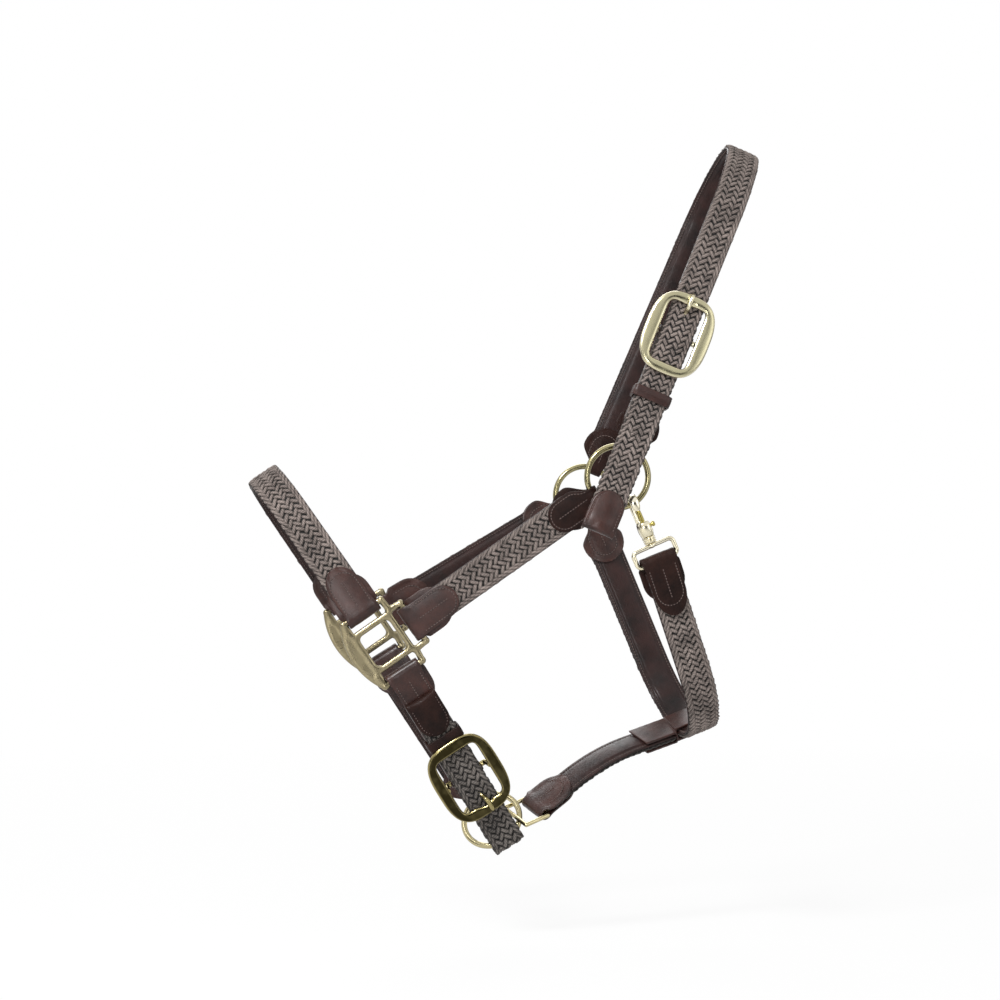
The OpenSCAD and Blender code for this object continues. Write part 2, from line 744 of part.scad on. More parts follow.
module far_ring() {
  round_ring(frame(far_ring_at, cheek_dir, far), ring_r);
}

// --- Headpiece -------------------------------------------------------------------------------------------------------
poll_buckle = shift(near_poll, [poll_buckle_at, 0, 0]);

module headpiece_plait() {
  difference() {
    place(poll_loop) plait(headpiece_path);
    place(poll_buckle) tongue_slot();
  }
}

module headpiece_lining() {
  place(poll_loop) lining(headpiece_lining_path);
}

module headpiece_far_chape() {
  place(far_poll) ring_chape();
}

module headpiece_cap() {
  place(shift(near_poll, [poll_buckle_at - poll_tail, 0, 0])) strap_cap();
}

module poll_buckle_frame() {
  place(poll_buckle) buckle_frame();
}

module poll_buckle_tongue() {
  place(poll_buckle) buckle_tongue();
}

module poll_buckle_chape() {
  place(reversed(poll_buckle)) buckle_chape();
}

module poll_buckle_strap() {
  color(plait_colour) place(near_poll)
    straight(strap_start, poll_buckle_at - strap_start, 0, plait_t);
}

module poll_buckle_lining() {
  color(lining_colour) place(near_poll)
    straight(strap_start, poll_buckle_at - strap_start, -lining_t, lining_t);
}

module poll_ring_chape() {
  place(near_poll) ring_chape(short_tab);
}

// The keeper slides on the straps between the ring chape and the buckle
module poll_keeper() {
  place(shift(near_poll, [poll_keeper_at, 0, 0])) keeper(-lining_t, play);
}

// --- Snap hook ---------------------------------------------------------------------------------------------------------
module snap_hook() {
  back_y = hook_in_r + hook_t;
  color(brass_colour) place(snap) difference() {
    union() {
      // Hook, back leg and point
      linear_extrude(hook_w, center = true) {
        difference() {
          translate([hook_bear, 0]) circle(back_y);
          translate([hook_bear, 0]) circle(hook_in_r);
          translate([hook_bear, -back_y - 1]) square([2 * back_y, 2 * back_y + 2]);
        }
        translate([hook_bear, -back_y]) square([body_at - hook_bear, hook_t]);
        translate([hook_bear, hook_in_r]) square([hook_point - hook_bear, hook_t]);
      }
      // Body that holds the bolt, with a round collar for the swivel
      translate([body_at, -back_y, -body_w / 2])
        cube([collar_at - body_at, back_y + bolt_y + 2 * bolt_r, body_w]);
      translate([collar_at, 0, 0]) rotate([0, 90, 0]) cylinder(h = collar_len, r = collar_r);
    }
    // Bolt bore and the slot for its thumb piece
    translate([body_at - 1, bolt_y, 0]) rotate([0, 90, 0])
      cylinder(h = bore_end - body_at + 1, r = bolt_r + 0.1);
    translate([thumb_at - 0.3, bolt_y - thumb_w / 2 - 0.2, -body_w / 2 - 1])
      cube([thumb_w + bolt_travel + 0.6, thumb_w + 0.4, body_w / 2 + 1]);
    // Swivel bore and the chamber for its head
    translate([swivel_at, 0, 0]) rotate([0, 90, 0]) {
      cylinder(h = collar_len, r = swivel_r + 0.1);
      cylinder(h = swivel_head_t + 0.4, r = swivel_head_r + 0.1);
    }
  }
}

module snap_bolt() {
  color(brass_colour) place(snap) {
    translate([hook_point + 0.2, bolt_y, 0]) rotate([0, 90, 0])
      cylinder(h = bolt_end - hook_point - 0.2, r = bolt_r);
    translate([thumb_at, bolt_y - thumb_w / 2, -body_w / 2 - 2.6])
      cube([thumb_w, thumb_w, body_w / 2 + 2.6]);
  }
}

module snap_spring() {
  color(brass_colour) place(snap) translate([bolt_end + 0.1, bolt_y, 0]) rotate([0, 90, 0])
    difference() {
      cylinder(h = bolt_travel + 0.2, r = bolt_r - 0.1);
      translate([0, 0, -1]) cylinder(h = bolt_travel + 2.2, r = bolt_r - 0.7);
    }
}

// Rectangular loop of the throatlash with the swivel stud that turns in the snap
module snap_loop() {
  half = loop_w / 2 + loop_wire_r;
  color(brass_colour) place(snap) {
    wire([
      [loop_at, 0, -half], [loop_at, 0, half], [snap_len, 0, half],
      [snap_len, 0, -half], [loop_at, 0, -half]
    ], loop_wire_r);
    translate([swivel_at + 0.2, 0, 0]) rotate([0, 90, 0]) {
      cylinder(h = swivel_head_t, r = swivel_head_r);
      cylinder(h = loop_at - swivel_at - 0.2, r = swivel_r);
    }
  }
}

// --- Throatlash -------------------------------------------------------------------------------------------------------------
module throat_plait() {
  place(throat_loop) plait(throat_path);
}

module throat_lining() {
  place(throat_loop) lining(throat_path);
}

module throat_near_chape() {
  place(near_throat)
    chape(fold_w, loop_slack, bar_flare, throat_tab, throat_tab_point, tab_in);
}

module throat_far_chape() {
  place(far_throat) ring_chape();
}

// --- Chin strap ------------------------------------------------------------------------------------------------------------------
chin_buckle = shift(chin, [chin_buckle_at, 0, 0]);

module chin_fitting_chape() {
  place(chin) bar_chape(short_tab, blunt_point);
}

module chin_buckle_strap() {
  color(leather_colour) place(chin)
    straight(strap_start, chin_buckle_at - strap_start, -lining_t, lining_t + plait_t);
}

module chin_buckle_chape() {
  place(reversed(chin_buckle)) buckle_chape();
}

module chin_buckle_frame() {
  place(chin_buckle) buckle_frame();
}

module chin_buckle_tongue() {
  place(chin_buckle) buckle_tongue();
}

// This keeper is sewn down hard against the buckle
module chin_keeper() {
  place(shift(chin, [chin_keeper_at, 0, 0])) keeper(-lining_t, 0);
}

// The plait of the chin strap: buckled tail, turn round the ring wire and the sewn return
module chin_plait() {
  color(plait_colour) difference() {
    place(chin) {
      straight(chin_buckle_at - chin_tail, chin_len, tail_y, plait_t);
      translate([chin_len, turn_y, 0]) linear_extrude(strap_w, center = true) difference() {
        circle(turn_in_r + plait_t);
        circle(turn_in_r);
        translate([-2 * turn_in_r - plait_t, -10]) square([2 * turn_in_r + plait_t, 20]);
      }
      straight(chin_len - chin_return, chin_len, turn_y - turn_in_r - plait_t, plait_t);
    }
    place(chin_buckle) tongue_slot();
    // The strap gives way round the ring
    place(chin_ring_frame) rotate([90, 0, 0]) rotate_extrude() translate([chin_ring_r, 0])
      circle(ring_wire_r + play);
  }
}

module chin_cap() {
  place(shift(chin, [chin_buckle_at - chin_tail, 0, 0])) strap_cap();
}

module far_chin_plait() {
  color(plait_colour) place(far_chin)
    straight(strap_start, far_chin_span - strap_start, 0, plait_t);
}

module far_chin_lining() {
  color(lining_colour) place(far_chin)
    straight(strap_start, far_chin_span - strap_start, -lining_t, lining_t);
}

module far_chin_fitting_chape() {
  place(far_chin) bar_chape(short_tab, blunt_point);
}

module far_chin_ring_chape() {
  place(reversed(shift(far_chin, [far_chin_span, 0, 0]))) ring_chape();
}

module chin_ring() {
  round_ring(chin_ring_frame, chin_ring_r);
}

// --- Jowl strap ---------------------------------------------------------------------------------------------------------------------
module jowl_link() {
  half = loop_w / 2 + link_wire_r;
  color(brass_colour) place(jowl_link_frame) wire([
    [0, 0, -half], [0, 0, half], [-link_bar_gap, 0, half], [-link_bar_gap, 0, -half], [0, 0, -half]
  ], link_wire_r);
}

module jowl_plait() {
  place(jowl) plait(jowl_path);
}

module jowl_lining() {
  place(jowl) lining(jowl_path);
}

module jowl_link_chape() {
  place(jowl_first) chape(fold_w, bar_slack, bar_flare, tab_in, strap_w / 2, tab_in);
}

// Leather of the jowl strap: two tabs on its end and a loop round the throatlash
module jowl_throat_loop() {
  color(leather_colour) {
    place(jowl_last) difference() {
      sheet(-lining_t - leather_t, plait_t + lining_t + 2 * leather_t) polygon([
        [-loop_tab, -strap_w / 2], [grip_reach(-strap_w / 2), -strap_w / 2],
        [grip_reach(strap_w / 2), strap_w / 2], [-loop_tab, strap_w / 2]
      ]);
      translate([-loop_tab - 1, -lining_t, -strap_w / 2 - 1])
        cube([loop_tab + 1, plait_t + lining_t, strap_w + 2]);
    }
    place(throat_grip) linear_extrude(strap_w, center = true) difference() {
      polygon(grip_outline(leather_t));
      polygon(grip_outline(0));
    }
  }
}

// The tabs end along the edge of the throatlash
function grip_reach(z) =
  grip_room - 0.8 + z * (across(throat_grip) * jowl_last[1]) / (across(throat_grip) * across(jowl_last));

// Outline of the loop round the edge of the throatlash, t outside its inner face
function grip_outline(t) =
  let (
    mid = (grip_high + grip_low) / 2,
    r = (grip_high - grip_low) / 2 + t,
    left = -strap_w / 2 - 0.4 - 0.6 * t
  )
  concat(
    [[left, mid - r]],
    [for (a = [-90:9:90]) [strap_w / 2 + 0.3, mid] + r * turned(a)],
    [[left, mid + r]]
  );

near_cheek_fitting();
far_cheek_fitting();
noseband_plait();
noseband_lining();
noseband_near_chape();
noseband_far_chape();
near_cheek_plait();
near_cheek_lining();
near_cheek_lower_chape();
near_cheek_upper_chape();
far_cheek_plait();
far_cheek_lining();
far_cheek_lower_chape();
far_cheek_upper_chape();
near_ring();
far_ring();
headpiece_plait();
headpiece_lining();
headpiece_far_chape();
headpiece_cap();
poll_buckle_frame();
poll_buckle_tongue();
poll_buckle_chape();
poll_buckle_strap();
poll_buckle_lining();
poll_ring_chape();
poll_keeper();
snap_loop();
snap_hook();
snap_bolt();
snap_spring();
throat_plait();
throat_lining();
throat_near_chape();
throat_far_chape();
chin_fitting_chape();
chin_buckle_strap();
chin_buckle_chape();
chin_buckle_frame();
chin_buckle_tongue();
chin_keeper();
chin_plait();
chin_cap();
far_chin_plait();
far_chin_lining();
far_chin_fitting_chape();
far_chin_ring_chape();
chin_ring();
jowl_link();
jowl_plait();
jowl_lining();
jowl_link_chape();
jowl_throat_loop();
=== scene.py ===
# %% [markdown]
# # A leather headcollar, dressed over its CAD frame
# The frame is a horse's headcollar in the shape it has on the head: plaited straps on padded
# leather linings, folded leather ends round brass fittings, two buckles, and a bolt snap under
# the near cheek ring. This lesson adds the plaiting, padding, stitching and cast brass.

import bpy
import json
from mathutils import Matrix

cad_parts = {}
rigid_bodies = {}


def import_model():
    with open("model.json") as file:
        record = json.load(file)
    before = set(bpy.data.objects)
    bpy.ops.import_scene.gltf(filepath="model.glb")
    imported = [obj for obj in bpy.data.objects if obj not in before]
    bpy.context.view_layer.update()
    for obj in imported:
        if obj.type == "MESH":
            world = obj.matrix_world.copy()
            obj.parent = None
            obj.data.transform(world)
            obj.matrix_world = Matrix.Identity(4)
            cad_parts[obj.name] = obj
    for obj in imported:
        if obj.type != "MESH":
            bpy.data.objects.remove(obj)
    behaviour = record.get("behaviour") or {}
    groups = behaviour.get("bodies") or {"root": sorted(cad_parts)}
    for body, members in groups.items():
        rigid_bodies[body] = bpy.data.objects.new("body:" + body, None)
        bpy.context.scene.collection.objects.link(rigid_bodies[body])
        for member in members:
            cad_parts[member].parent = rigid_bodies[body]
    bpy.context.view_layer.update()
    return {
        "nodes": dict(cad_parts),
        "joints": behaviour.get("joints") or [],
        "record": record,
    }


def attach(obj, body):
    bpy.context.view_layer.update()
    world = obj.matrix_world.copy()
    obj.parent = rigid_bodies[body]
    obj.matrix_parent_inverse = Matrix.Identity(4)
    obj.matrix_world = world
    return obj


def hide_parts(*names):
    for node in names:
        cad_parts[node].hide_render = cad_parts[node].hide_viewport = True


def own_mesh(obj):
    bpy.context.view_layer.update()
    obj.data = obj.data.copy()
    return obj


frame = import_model()

import copy
import json
import math

import bmesh
import bpy
import numpy as np
from mathutils import Matrix, Vector

for extra in [o for o in bpy.data.objects if o.name in ("Cube", "Light", "Camera")]:
    bpy.data.objects.remove(extra)

NODES = frame["nodes"]
BODY = {n: b for b, names in frame["record"]["behaviour"]["bodies"].items() for n in names}
print("bodies:", sorted(set(BODY.values())), "nodes:", len(NODES))

# %% [markdown]
# ## Units and mesh helpers
# Blender works in metres and a saddler thinks in millimetres, so shapes are worked out in
# millimetres and turned into metres once, when a mesh is made. Nearly every piece of a
# headcollar is a section drawn along a line, so three helpers carry most of the work: a loft
# over rings of points, a tube along a path, and a join of several shapes into one mesh.

# %% Mesh helpers
MM = 0.001


def unit(v):
    v = np.asarray(v, float)
    return v / np.linalg.norm(v, axis=-1, keepdims=True)


def smoothstep(a, b, x):
    t = np.clip((np.asarray(x, float) - a) / (b - a), 0, 1)
    return t * t * (3 - 2 * t)


def circle(count):
    """So many angles, spread evenly round a full turn."""
    return np.linspace(0, 2 * np.pi, count, endpoint=False)


def lengths(points):
    """How far along a line each of its points lies."""
    return np.concatenate([[0], np.cumsum(np.linalg.norm(np.diff(points, axis=0), axis=1))])


def read_off(places, s, rows):
    """Rows of values that are given along s, read off at other places."""
    return np.stack([np.interp(places, s, column) for column in np.transpose(rows)], -1)


def tangents(path, loop=False):
    if loop:
        return unit(np.roll(path, -1, axis=0) - np.roll(path, 1, axis=0))
    return unit(np.gradient(path, axis=0))


def loft(rings, loop=False):
    """Quads over rings of shape (n, m, 3), capped at both ends unless it is a loop."""
    n, m = rings.shape[:2]
    i, j = np.meshgrid(np.arange(n if loop else n - 1), np.arange(m), indexing="ij")
    k, q = (i + 1) % n, (j + 1) % m
    faces = np.stack([i * m + j, i * m + q, k * m + q, k * m + j], -1).reshape(-1, 4).tolist()
    if not loop:
        faces += [list(range(m))[::-1], list(range((n - 1) * m, n * m))]
    return rings.reshape(-1, 3), faces


def many(points, faces, count=1, start=0):
    """The faces of count copies of a shape that has so many points, after start other points."""
    return [[k + start + c * points for k in face] for c in range(count) for face in faces]


def join(shapes):
    points, faces, start = [], [], 0
    for p, f in shapes:
        points.append(p)
        faces += many(len(p), f, start=start)
        start += len(p)
    return np.concatenate(points), faces


def section(one, other):
    """A closed section from halves of its two faces, in (across, height), that are mirrored."""
    lines = []
    for half in (one, other):
        half = np.array(half, float)
        lines.append(np.concatenate([half[half[:, 0] > 0][::-1] * [-1, 1], half]))
    return np.concatenate([lines[0], lines[1][::-1]]).T


def stations(*parts):
    """Rows of values along a folded strip, from parts that give arrays or single numbers."""
    return np.concatenate([np.stack(np.broadcast_arrays(*part)) for part in parts], 1)[..., None]


def spline(points, step):
    """A smooth line through the points, with a new point about every step."""
    p = np.asarray(points, float)
    p = np.concatenate([[2 * p[0] - p[1]], p, [2 * p[-1] - p[-2]]])
    out = []
    for k in range(1, len(p) - 2):
        n = max(2, int(np.linalg.norm(p[k + 1] - p[k]) / step))
        t = np.linspace(0, 1, n, endpoint=False)[:, None]
        a, b, c, d = p[k - 1:k + 3]
        out.append(0.5 * (2 * b + (c - a) * t + (2 * a - 5 * b + 4 * c - d) * t ** 2
                          + (3 * b - a - 3 * c + d) * t ** 3))
    return np.concatenate(out + [p[-2:-1]])


def tube(path, radius, sides, up, loop=False, flat=1.0):
    """A tube along a path. radius may vary; flat scales it along up."""
    tan = tangents(path, loop)
    side = unit(np.cross(tan, up))
    high = np.cross(side, tan)
    r = np.broadcast_to(np.asarray(radius, float), len(path))[:, None, None]
    turn = circle(sides)[None, :, None]
    rings = path[:, None] + r * (np.cos(turn) * side[:, None] + flat * np.sin(turn) * high[:, None])
    return loft(rings, loop)


def place_piece(name, mesh, finish, node, sharp, body=None):
    """Shades a mesh as a piece that rides on its body and stands for its node."""
    mesh.polygons.foreach_set("use_smooth", [True] * len(mesh.polygons))
    mesh.set_sharp_from_angle(angle=math.radians(sharp))
    mesh.materials.append(finish)
    piece = bpy.data.objects.new(name, mesh)
    bpy.context.scene.collection.objects.link(piece)
    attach(piece, body or BODY[node])
    if node:
        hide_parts(node)
    return piece


def add_piece(name, shape, finish, node=None, body=None, uv=None, sharp=50):
    """A piece from points in millimetres and faces. uv: where each point lies on a strand."""
    mesh = bpy.data.meshes.new(name)
    mesh.from_pydata((shape[0] * MM).tolist(), [], shape[1])
    bm = bmesh.new()
    bm.from_mesh(mesh)
    bmesh.ops.recalc_face_normals(bm, faces=bm.faces)
    bm.to_mesh(mesh)
    bm.free()
    if uv is not None:
        corners = np.empty(len(mesh.loops), int)
        mesh.loops.foreach_get("vertex_index", corners)
        mesh.uv_layers.new(name="Strand").data.foreach_set("uv", uv[corners].ravel())
    return place_piece(name, mesh, finish, node, sharp, body)


# %% [markdown]
# ## Reading a strap's run from its solid
# A real strap is one flat length that bends only across its thickness. Its CAD solid is the
# same: an outline swept sideways. Walking round the edge of one side face gives that outline,
# its two short ends split it into an inner and an outer line, and those give the strap's line,
# its outward direction and its width direction. Every later piece is drawn on such a run, so
# it follows the solid even when a size of the solid changes.

# %% Runs
HEAD = np.array([-150.0, 0.0, -250.0])  # a point inside the horse's head
STRAP_W = 24.0
PLAIT_T = 3.2
LINING_T = 2.8
BAR_GAP = 5.5  # from a bar's middle to the strap's end


class Run:
    """A strap's line in space: at(s, y, z) is s along it, y out from it and z across it."""

    def __init__(self, points, outs, width, smooth=3):
        s = lengths(points)
        self.length = s[-1]
        self.s = np.linspace(0, s[-1], int(s[-1]) + 2)
        self.p = self._soft(read_off(self.s, s, points), smooth, True)
        self.n = unit(self._soft(read_off(self.s, s, unit(outs)), smooth, False))
        self.t = tangents(self.p)
        self.w = unit(width)

    @staticmethod
    def _soft(a, k, line):
        """Evens out the corners of a line, and runs on straight beyond its ends."""
        first, last = (a[1] - a[0], a[-1] - a[-2]) if line else (0 * a[0], 0 * a[0])
        before = a[0] - first * np.arange(k, 0, -1)[:, None]
        after = a[-1] + last * np.arange(1, k + 1)[:, None]
        b = np.concatenate([before, a, after])
        core = np.ones(2 * k + 1) / (2 * k + 1)
        return np.stack([np.convolve(b[:, i], core, "valid") for i in range(3)], 1)

    def at(self, s, y, z):
        s, y, z = np.broadcast_arrays(*(np.asarray(v, float) for v in (s, y, z)))
        c = np.clip(s, 0, self.length)
        p, n, t = (read_off(c, self.s, a) for a in (self.p, self.n, self.t))
        return p + (s - c)[..., None] * unit(t) + y[..., None] * unit(n) + z[..., None] * self.w

    def along(self, s):
        return unit(self.at(np.asarray(s) + 0.5, 0, 0) - self.at(np.asarray(s) - 0.5, 0, 0))

    def flipped(self):
        back = copy.copy(self)
        back.p, back.n, back.t, back.w = self.p[::-1], self.n[::-1], -self.t[::-1], -self.w
        return back

    def from_near(self, point):
        """This run, turned so that it starts at its end nearer the point."""
        near, far = self.p[0] - point, self.p[-1] - point
        return self if np.linalg.norm(near) < np.linalg.norm(far) else self.flipped()

    def raised(self, y):
        high = copy.copy(self)
        high.p = self.p + y * self.n
        return high


def merged(node):
    """Corner points of a CAD node in millimetres with doubled corners merged, and its faces."""
    bm = bmesh.new()
    bm.from_mesh(NODES[node].data)
    bmesh.ops.remove_doubles(bm, verts=bm.verts, dist=0.02 * MM)
    bm.verts.index_update()
    points = np.array([v.co for v in bm.verts]) / MM
    faces = [tuple(v.index for v in f.verts) for f in bm.faces]
    bm.free()
    return points, faces


def middle(node):
    points = merged(node)[0]
    return (points.max(0) + points.min(0)) / 2


def side_outline(node):
    """The ordered outline of a strap's side face, and the direction it was swept in."""
    points, faces = merged(node)
    gap = points[None] - points[:, None]
    i, j = np.where(np.abs(np.linalg.norm(gap, axis=2) - STRAP_W) < 0.03)
    d = gap[i, j] / STRAP_W
    w = unit(d[(np.abs(d @ d.T) > 0.9999).sum(1).argmax()])
    side = points @ w > (points @ w).max() - 0.05
    edges = set()
    for f in faces:
        if all(side[k] for k in f):
            for a, b in zip(f, f[1:] + f[:1]):
                if (b, a) in edges:
                    edges.remove((b, a))
                else:
                    edges.add((a, b))
    follow, walks = dict(edges), []
    while follow:
        walk = [next(iter(follow))]
        while follow[walk[-1]] != walk[0]:
            walk.append(follow.pop(walk[-1]))
        follow.pop(walk[-1])
        walks.append(walk)
    return points[max(walks, key=len)], w


def run_of(node, thickness, top=False):
    """The run on the inner face of a strap's solid, or on its outer face with top."""
    outline, w = side_outline(node)
    edge = np.roll(outline, -1, axis=0) - outline
    way = unit(edge)
    square = np.abs((way * np.roll(way, 1, axis=0)).sum(1)) < 0.1
    right_size = np.abs(np.linalg.norm(edge, axis=1) - thickness) < 0.04
    a, b = np.where(square & np.roll(square, -1) & right_size)[0][:2]
    one = outline[a + 1:b + 1]
    two = np.concatenate([outline[b + 1:], outline[:a + 1]])[::-1]
    if np.linalg.norm(one - HEAD, axis=1).mean() > np.linalg.norm(two - HEAD, axis=1).mean():
        one, two = two, one
    if len(one) != len(two):
        two = two[np.linspace(0, len(two) - 1, len(one)).round().astype(int)]
    base = (two if top else one) - w * (STRAP_W / 2)
    return Run(base, two - one, w)


NEAR_RING, FAR_RING = middle("near_ring"), middle("far_ring")
NEAR_FITTING, FAR_FITTING = middle("near_cheek_fitting"), middle("far_cheek_fitting")
RUNS = {name: run_of(name + "_plait", PLAIT_T)
        for name in ("noseband", "near_cheek", "far_cheek", "headpiece", "throat", "far_chin", "jowl")}
RUNS["near_poll"] = run_of("poll_buckle_strap", PLAIT_T).from_near(NEAR_RING)
chin_backing = run_of("chin_buckle_strap", PLAIT_T + LINING_T)
RUNS["chin"] = chin_backing.from_near(NEAR_FITTING).raised(LINING_T)
for name, run in RUNS.items():
    print(name, "is", run.length.round(1), "mm long, from", run.p[0].round(), "to", run.p[-1].round())

# %% [markdown]
# ## Tools for finishes
# A finish is a material whose colour, roughness and relief come from procedural nodes. These
# few methods add a node and link it in one line, so that each finish below reads as a recipe.

# %% Tools for finishes
BLACK = (0, 0, 0, 1)
WHITE = (1, 1, 1, 1)


def rgb(screen):
    """Screen values from 0 to 255 as a linear colour."""
    return tuple(((c / 255 + 0.055) / 1.055) ** 2.4 if c > 10 else c / 3295 for c in screen) + (1,)


def grey(value):
    return (value, value, value, 1)


class Tree:
    """A node tree, and short ways to add and link its nodes."""

    def __init__(self, tree):
        self.tree = tree

    def put(self, socket, value):
        """Sets a socket to a value, or links it to a socket or to a node's first output."""
        if isinstance(value, bpy.types.Node):
            value = value.outputs[0]
        if isinstance(value, bpy.types.NodeSocket):
            self.tree.links.new(value, socket)
        else:
            socket.default_value = value

    def node(self, kind, *values, settings=None, **inputs):
        """Adds a node. values go to its sockets in their order, inputs by name."""
        n = self.tree.nodes.new("ShaderNode" + kind)
        for key, value in (settings or {}).items():
            setattr(n, key, value)
        for socket, value in zip(n.inputs, values):
            self.put(socket, value)
        for key, value in inputs.items():
            self.put(n.inputs[key], value)
        return n

    def math(self, operation, *values):
        return self.node("Math", *values, settings={"operation": operation})


class Finish(Tree):
    """A material and its shader, whose constant values are set on the sockets themselves."""

    def __init__(self, name, **shader):
        self.material = bpy.data.materials.new(name)
        self.material.use_nodes = True
        super().__init__(self.material.node_tree)
        self.shader = self.tree.nodes["Principled BSDF"]
        for socket, value in shader.items():
            self.shader.inputs[socket.replace("_", " ")].default_value = value

    def ramp(self, source, *stops):
        n = self.node("ValToRGB", source)
        while len(n.color_ramp.elements) < len(stops):
            n.color_ramp.elements.new(0.5)
        for element, (place, colour) in zip(n.color_ramp.elements, stops):
            element.position, element.color = place, colour
        return n

    def noise(self, scale, detail, roughness=0.55):
        place = self.node("TexCoord").outputs["Object"]
        return self.node("TexNoise", Vector=place, Scale=scale, Detail=detail, Roughness=roughness)

    def span(self, source, low, high, first=0.0, last=1.0):
        """Turns the source's values from low to high into values from first to last."""
        return self.node("MapRange", source, low, high, first, last)

    def mix(self, share, a, b, blend="MIX"):
        n = self.node("Mix", share, settings={"data_type": "RGBA", "blend_type": blend})
        self.put(n.inputs[6], a)
        self.put(n.inputs[7], b)
        return n.outputs[2]

    def strand(self):
        """The two ways of the Strand map: U along a strand and V round it."""
        ways = self.node("SeparateXYZ", self.node("UVMap", settings={"uv_map": "Strand"}))
        return ways.outputs["X"], ways.outputs["Y"]

    def bump(self, height, distance, strength=1.0):
        """Adds a layer of relief, distance metres deep, over the layers already there."""
        n = self.node("Bump", Height=height, Distance=distance, Strength=strength)
        normal = self.shader.inputs["Normal"]
        if normal.is_linked:
            self.put(n.inputs["Normal"], normal.links[0].from_socket)
        self.put(normal, n)

    def drive(self, socket, source):
        self.put(self.shader.inputs[socket], source)


print("white paper is", round(rgb((238,))[0], 2), "in linear light")

# %% [markdown]
# ## Cord, leather and brass
# The cord is taupe and matt, and each plaited end is itself twisted yarn, so its colour breaks
# into fine slanted streaks; painted shade darkens each float's ends and sides, and the chin and
# jowl straps take a darker copy of the cord as painted shade. The leather is a dark brown,
# waxed, with a fine grain; the ends and the keeper that lie in shade take a darker, duller copy
# of it as painted shade. The seams are sewn with a brown thread, and with a paler one on that
# shaded leather. The fittings are brass: polished, cast and satin. The rings take a darker
# brass as a painted dark reflection, and the chin buckle one that is dirtier and, as a painted
# dark reflection, darker; a buckle rim's face is painted darker as a reflection, which leaves
# its edges bright as a painted highlight. The bolt snap is a paler alloy.

# %% Cord, leather and brass
YARNS = 4  # streaks round one strand
YARN_TWIST = 1.2
YARN_DEPTH, FUZZ_DEPTH = 0.00018, 0.00008
GRAIN_DEPTH, CREASE_DEPTH = 0.00009, 0.00012
POLISH_DEPTH = 0.0001
DIRT = rgb((52, 44, 30))


def cord_finish(name, dark, light):
    """Yarn: streaks run along each strand in U and slant slowly round it in V.
    Painted shade darkens each float's ends, its sides and its underside.
    """
    f = Finish(name, Roughness=0.85, Sheen_Weight=0.25, Sheen_Roughness=0.5, Sheen_Tint=rgb((190, 180, 170)))
    dark, light = rgb(dark), rgb(light)
    along, around = f.strand()
    slant = f.math("ADD", around, f.math("MULTIPLY", along, YARN_TWIST))
    wave = f.math("SINE", f.math("MULTIPLY", slant, 2 * math.pi * YARNS))
    yarn = f.span(wave, -1, 1)
    fuzz = f.noise(2600, 3, 0.7)
    tone = f.ramp(f.noise(90, 3), (0.3, dark), (0.72, light))
    streak = f.mix(0.45, tone, f.ramp(yarn, (0.0, dark), (1.0, light)))
    fluff = f.mix(0.4, streak, f.ramp(fuzz, (0.3, grey(0.45)), (0.65, WHITE)), "MULTIPLY")
    # painted shade: each float darker at both ends, where it goes under its neighbours
    painted_end_shade = f.ramp(along, (0.0, grey(0.25)), (0.24, WHITE), (0.76, WHITE), (1.0, grey(0.25)))
    # painted light and shade: each strand lighter on top, darker on its sides and underside
    deep = grey(0.16)
    shade = f.ramp(around, (0.0, deep), (0.2, WHITE), (0.3, WHITE), (0.5, deep), (1.0, deep))
    f.drive("Base Color", f.mix(1.0, f.mix(1.0, fluff, painted_end_shade, "MULTIPLY"), shade, "MULTIPLY"))
    f.bump(yarn, YARN_DEPTH)
    f.bump(fuzz, FUZZ_DEPTH)
    return f.material


def leather_finish(name, deep, worn, gloss, coat, shine=0.18):
    """Waxed hide: cells of grain, a cloudy colour, and a thin coat over it."""
    f = Finish(name, Specular_IOR_Level=shine, Coat_Weight=coat, Coat_Roughness=gloss)
    f.drive("Base Color", f.ramp(f.noise(70, 5), (0.3, rgb(deep)), (0.7, rgb(worn))))
    place = f.node("TexCoord").outputs["Object"]
    cells = f.node("TexVoronoi", settings={"feature": "DISTANCE_TO_EDGE"}, Vector=place, Scale=1100)
    f.drive("Roughness", f.span(f.noise(260, 4), 0.3, 0.7, 0.34, 0.52))
    f.bump(f.span(cells, 0, 0.25), GRAIN_DEPTH)
    f.bump(f.noise(420, 5), CREASE_DEPTH)
    return f.material


def metal_finish(name, base, dull, smooth, rough, dirt=0.0, face=None):
    """Cast and polished metal: soft waves in the polish and a duller tone in patches.
    face: the darker tone of a rim's face, a painted dark reflection that leaves its edges bright as a
    painted highlight."""
    f = Finish(name, Metallic=1.0)
    patches = f.noise(90, 3, 0.5)
    colour = f.ramp(patches, (0.3, rgb(base)), (0.78, rgb(dull)))
    if dirt:
        colour = f.mix(f.ramp(f.noise(60, 5, 0.65), (0.4, BLACK), (0.7, grey(dirt))), colour, DIRT)
    if face:
        # painted reflection: the middle of the rim's face takes the darker face tone and the edges keep the
        # bright base tone as a painted highlight; worn gives random patches of the base tone in the face
        inside = f.ramp(f.strand()[0], (0.06, BLACK), (0.2, WHITE), (0.8, WHITE), (0.94, BLACK))
        worn = f.ramp(patches, (0.5, BLACK), (0.9, grey(0.35)))
        colour = f.mix(inside, colour, f.mix(worn, rgb(face), colour))
    f.drive("Base Color", colour)
    f.drive("Roughness", f.span(f.noise(120, 3), 0.3, 0.72, smooth, rough))
    f.bump(f.noise(40, 1), POLISH_DEPTH, 0.2)
    return f.material


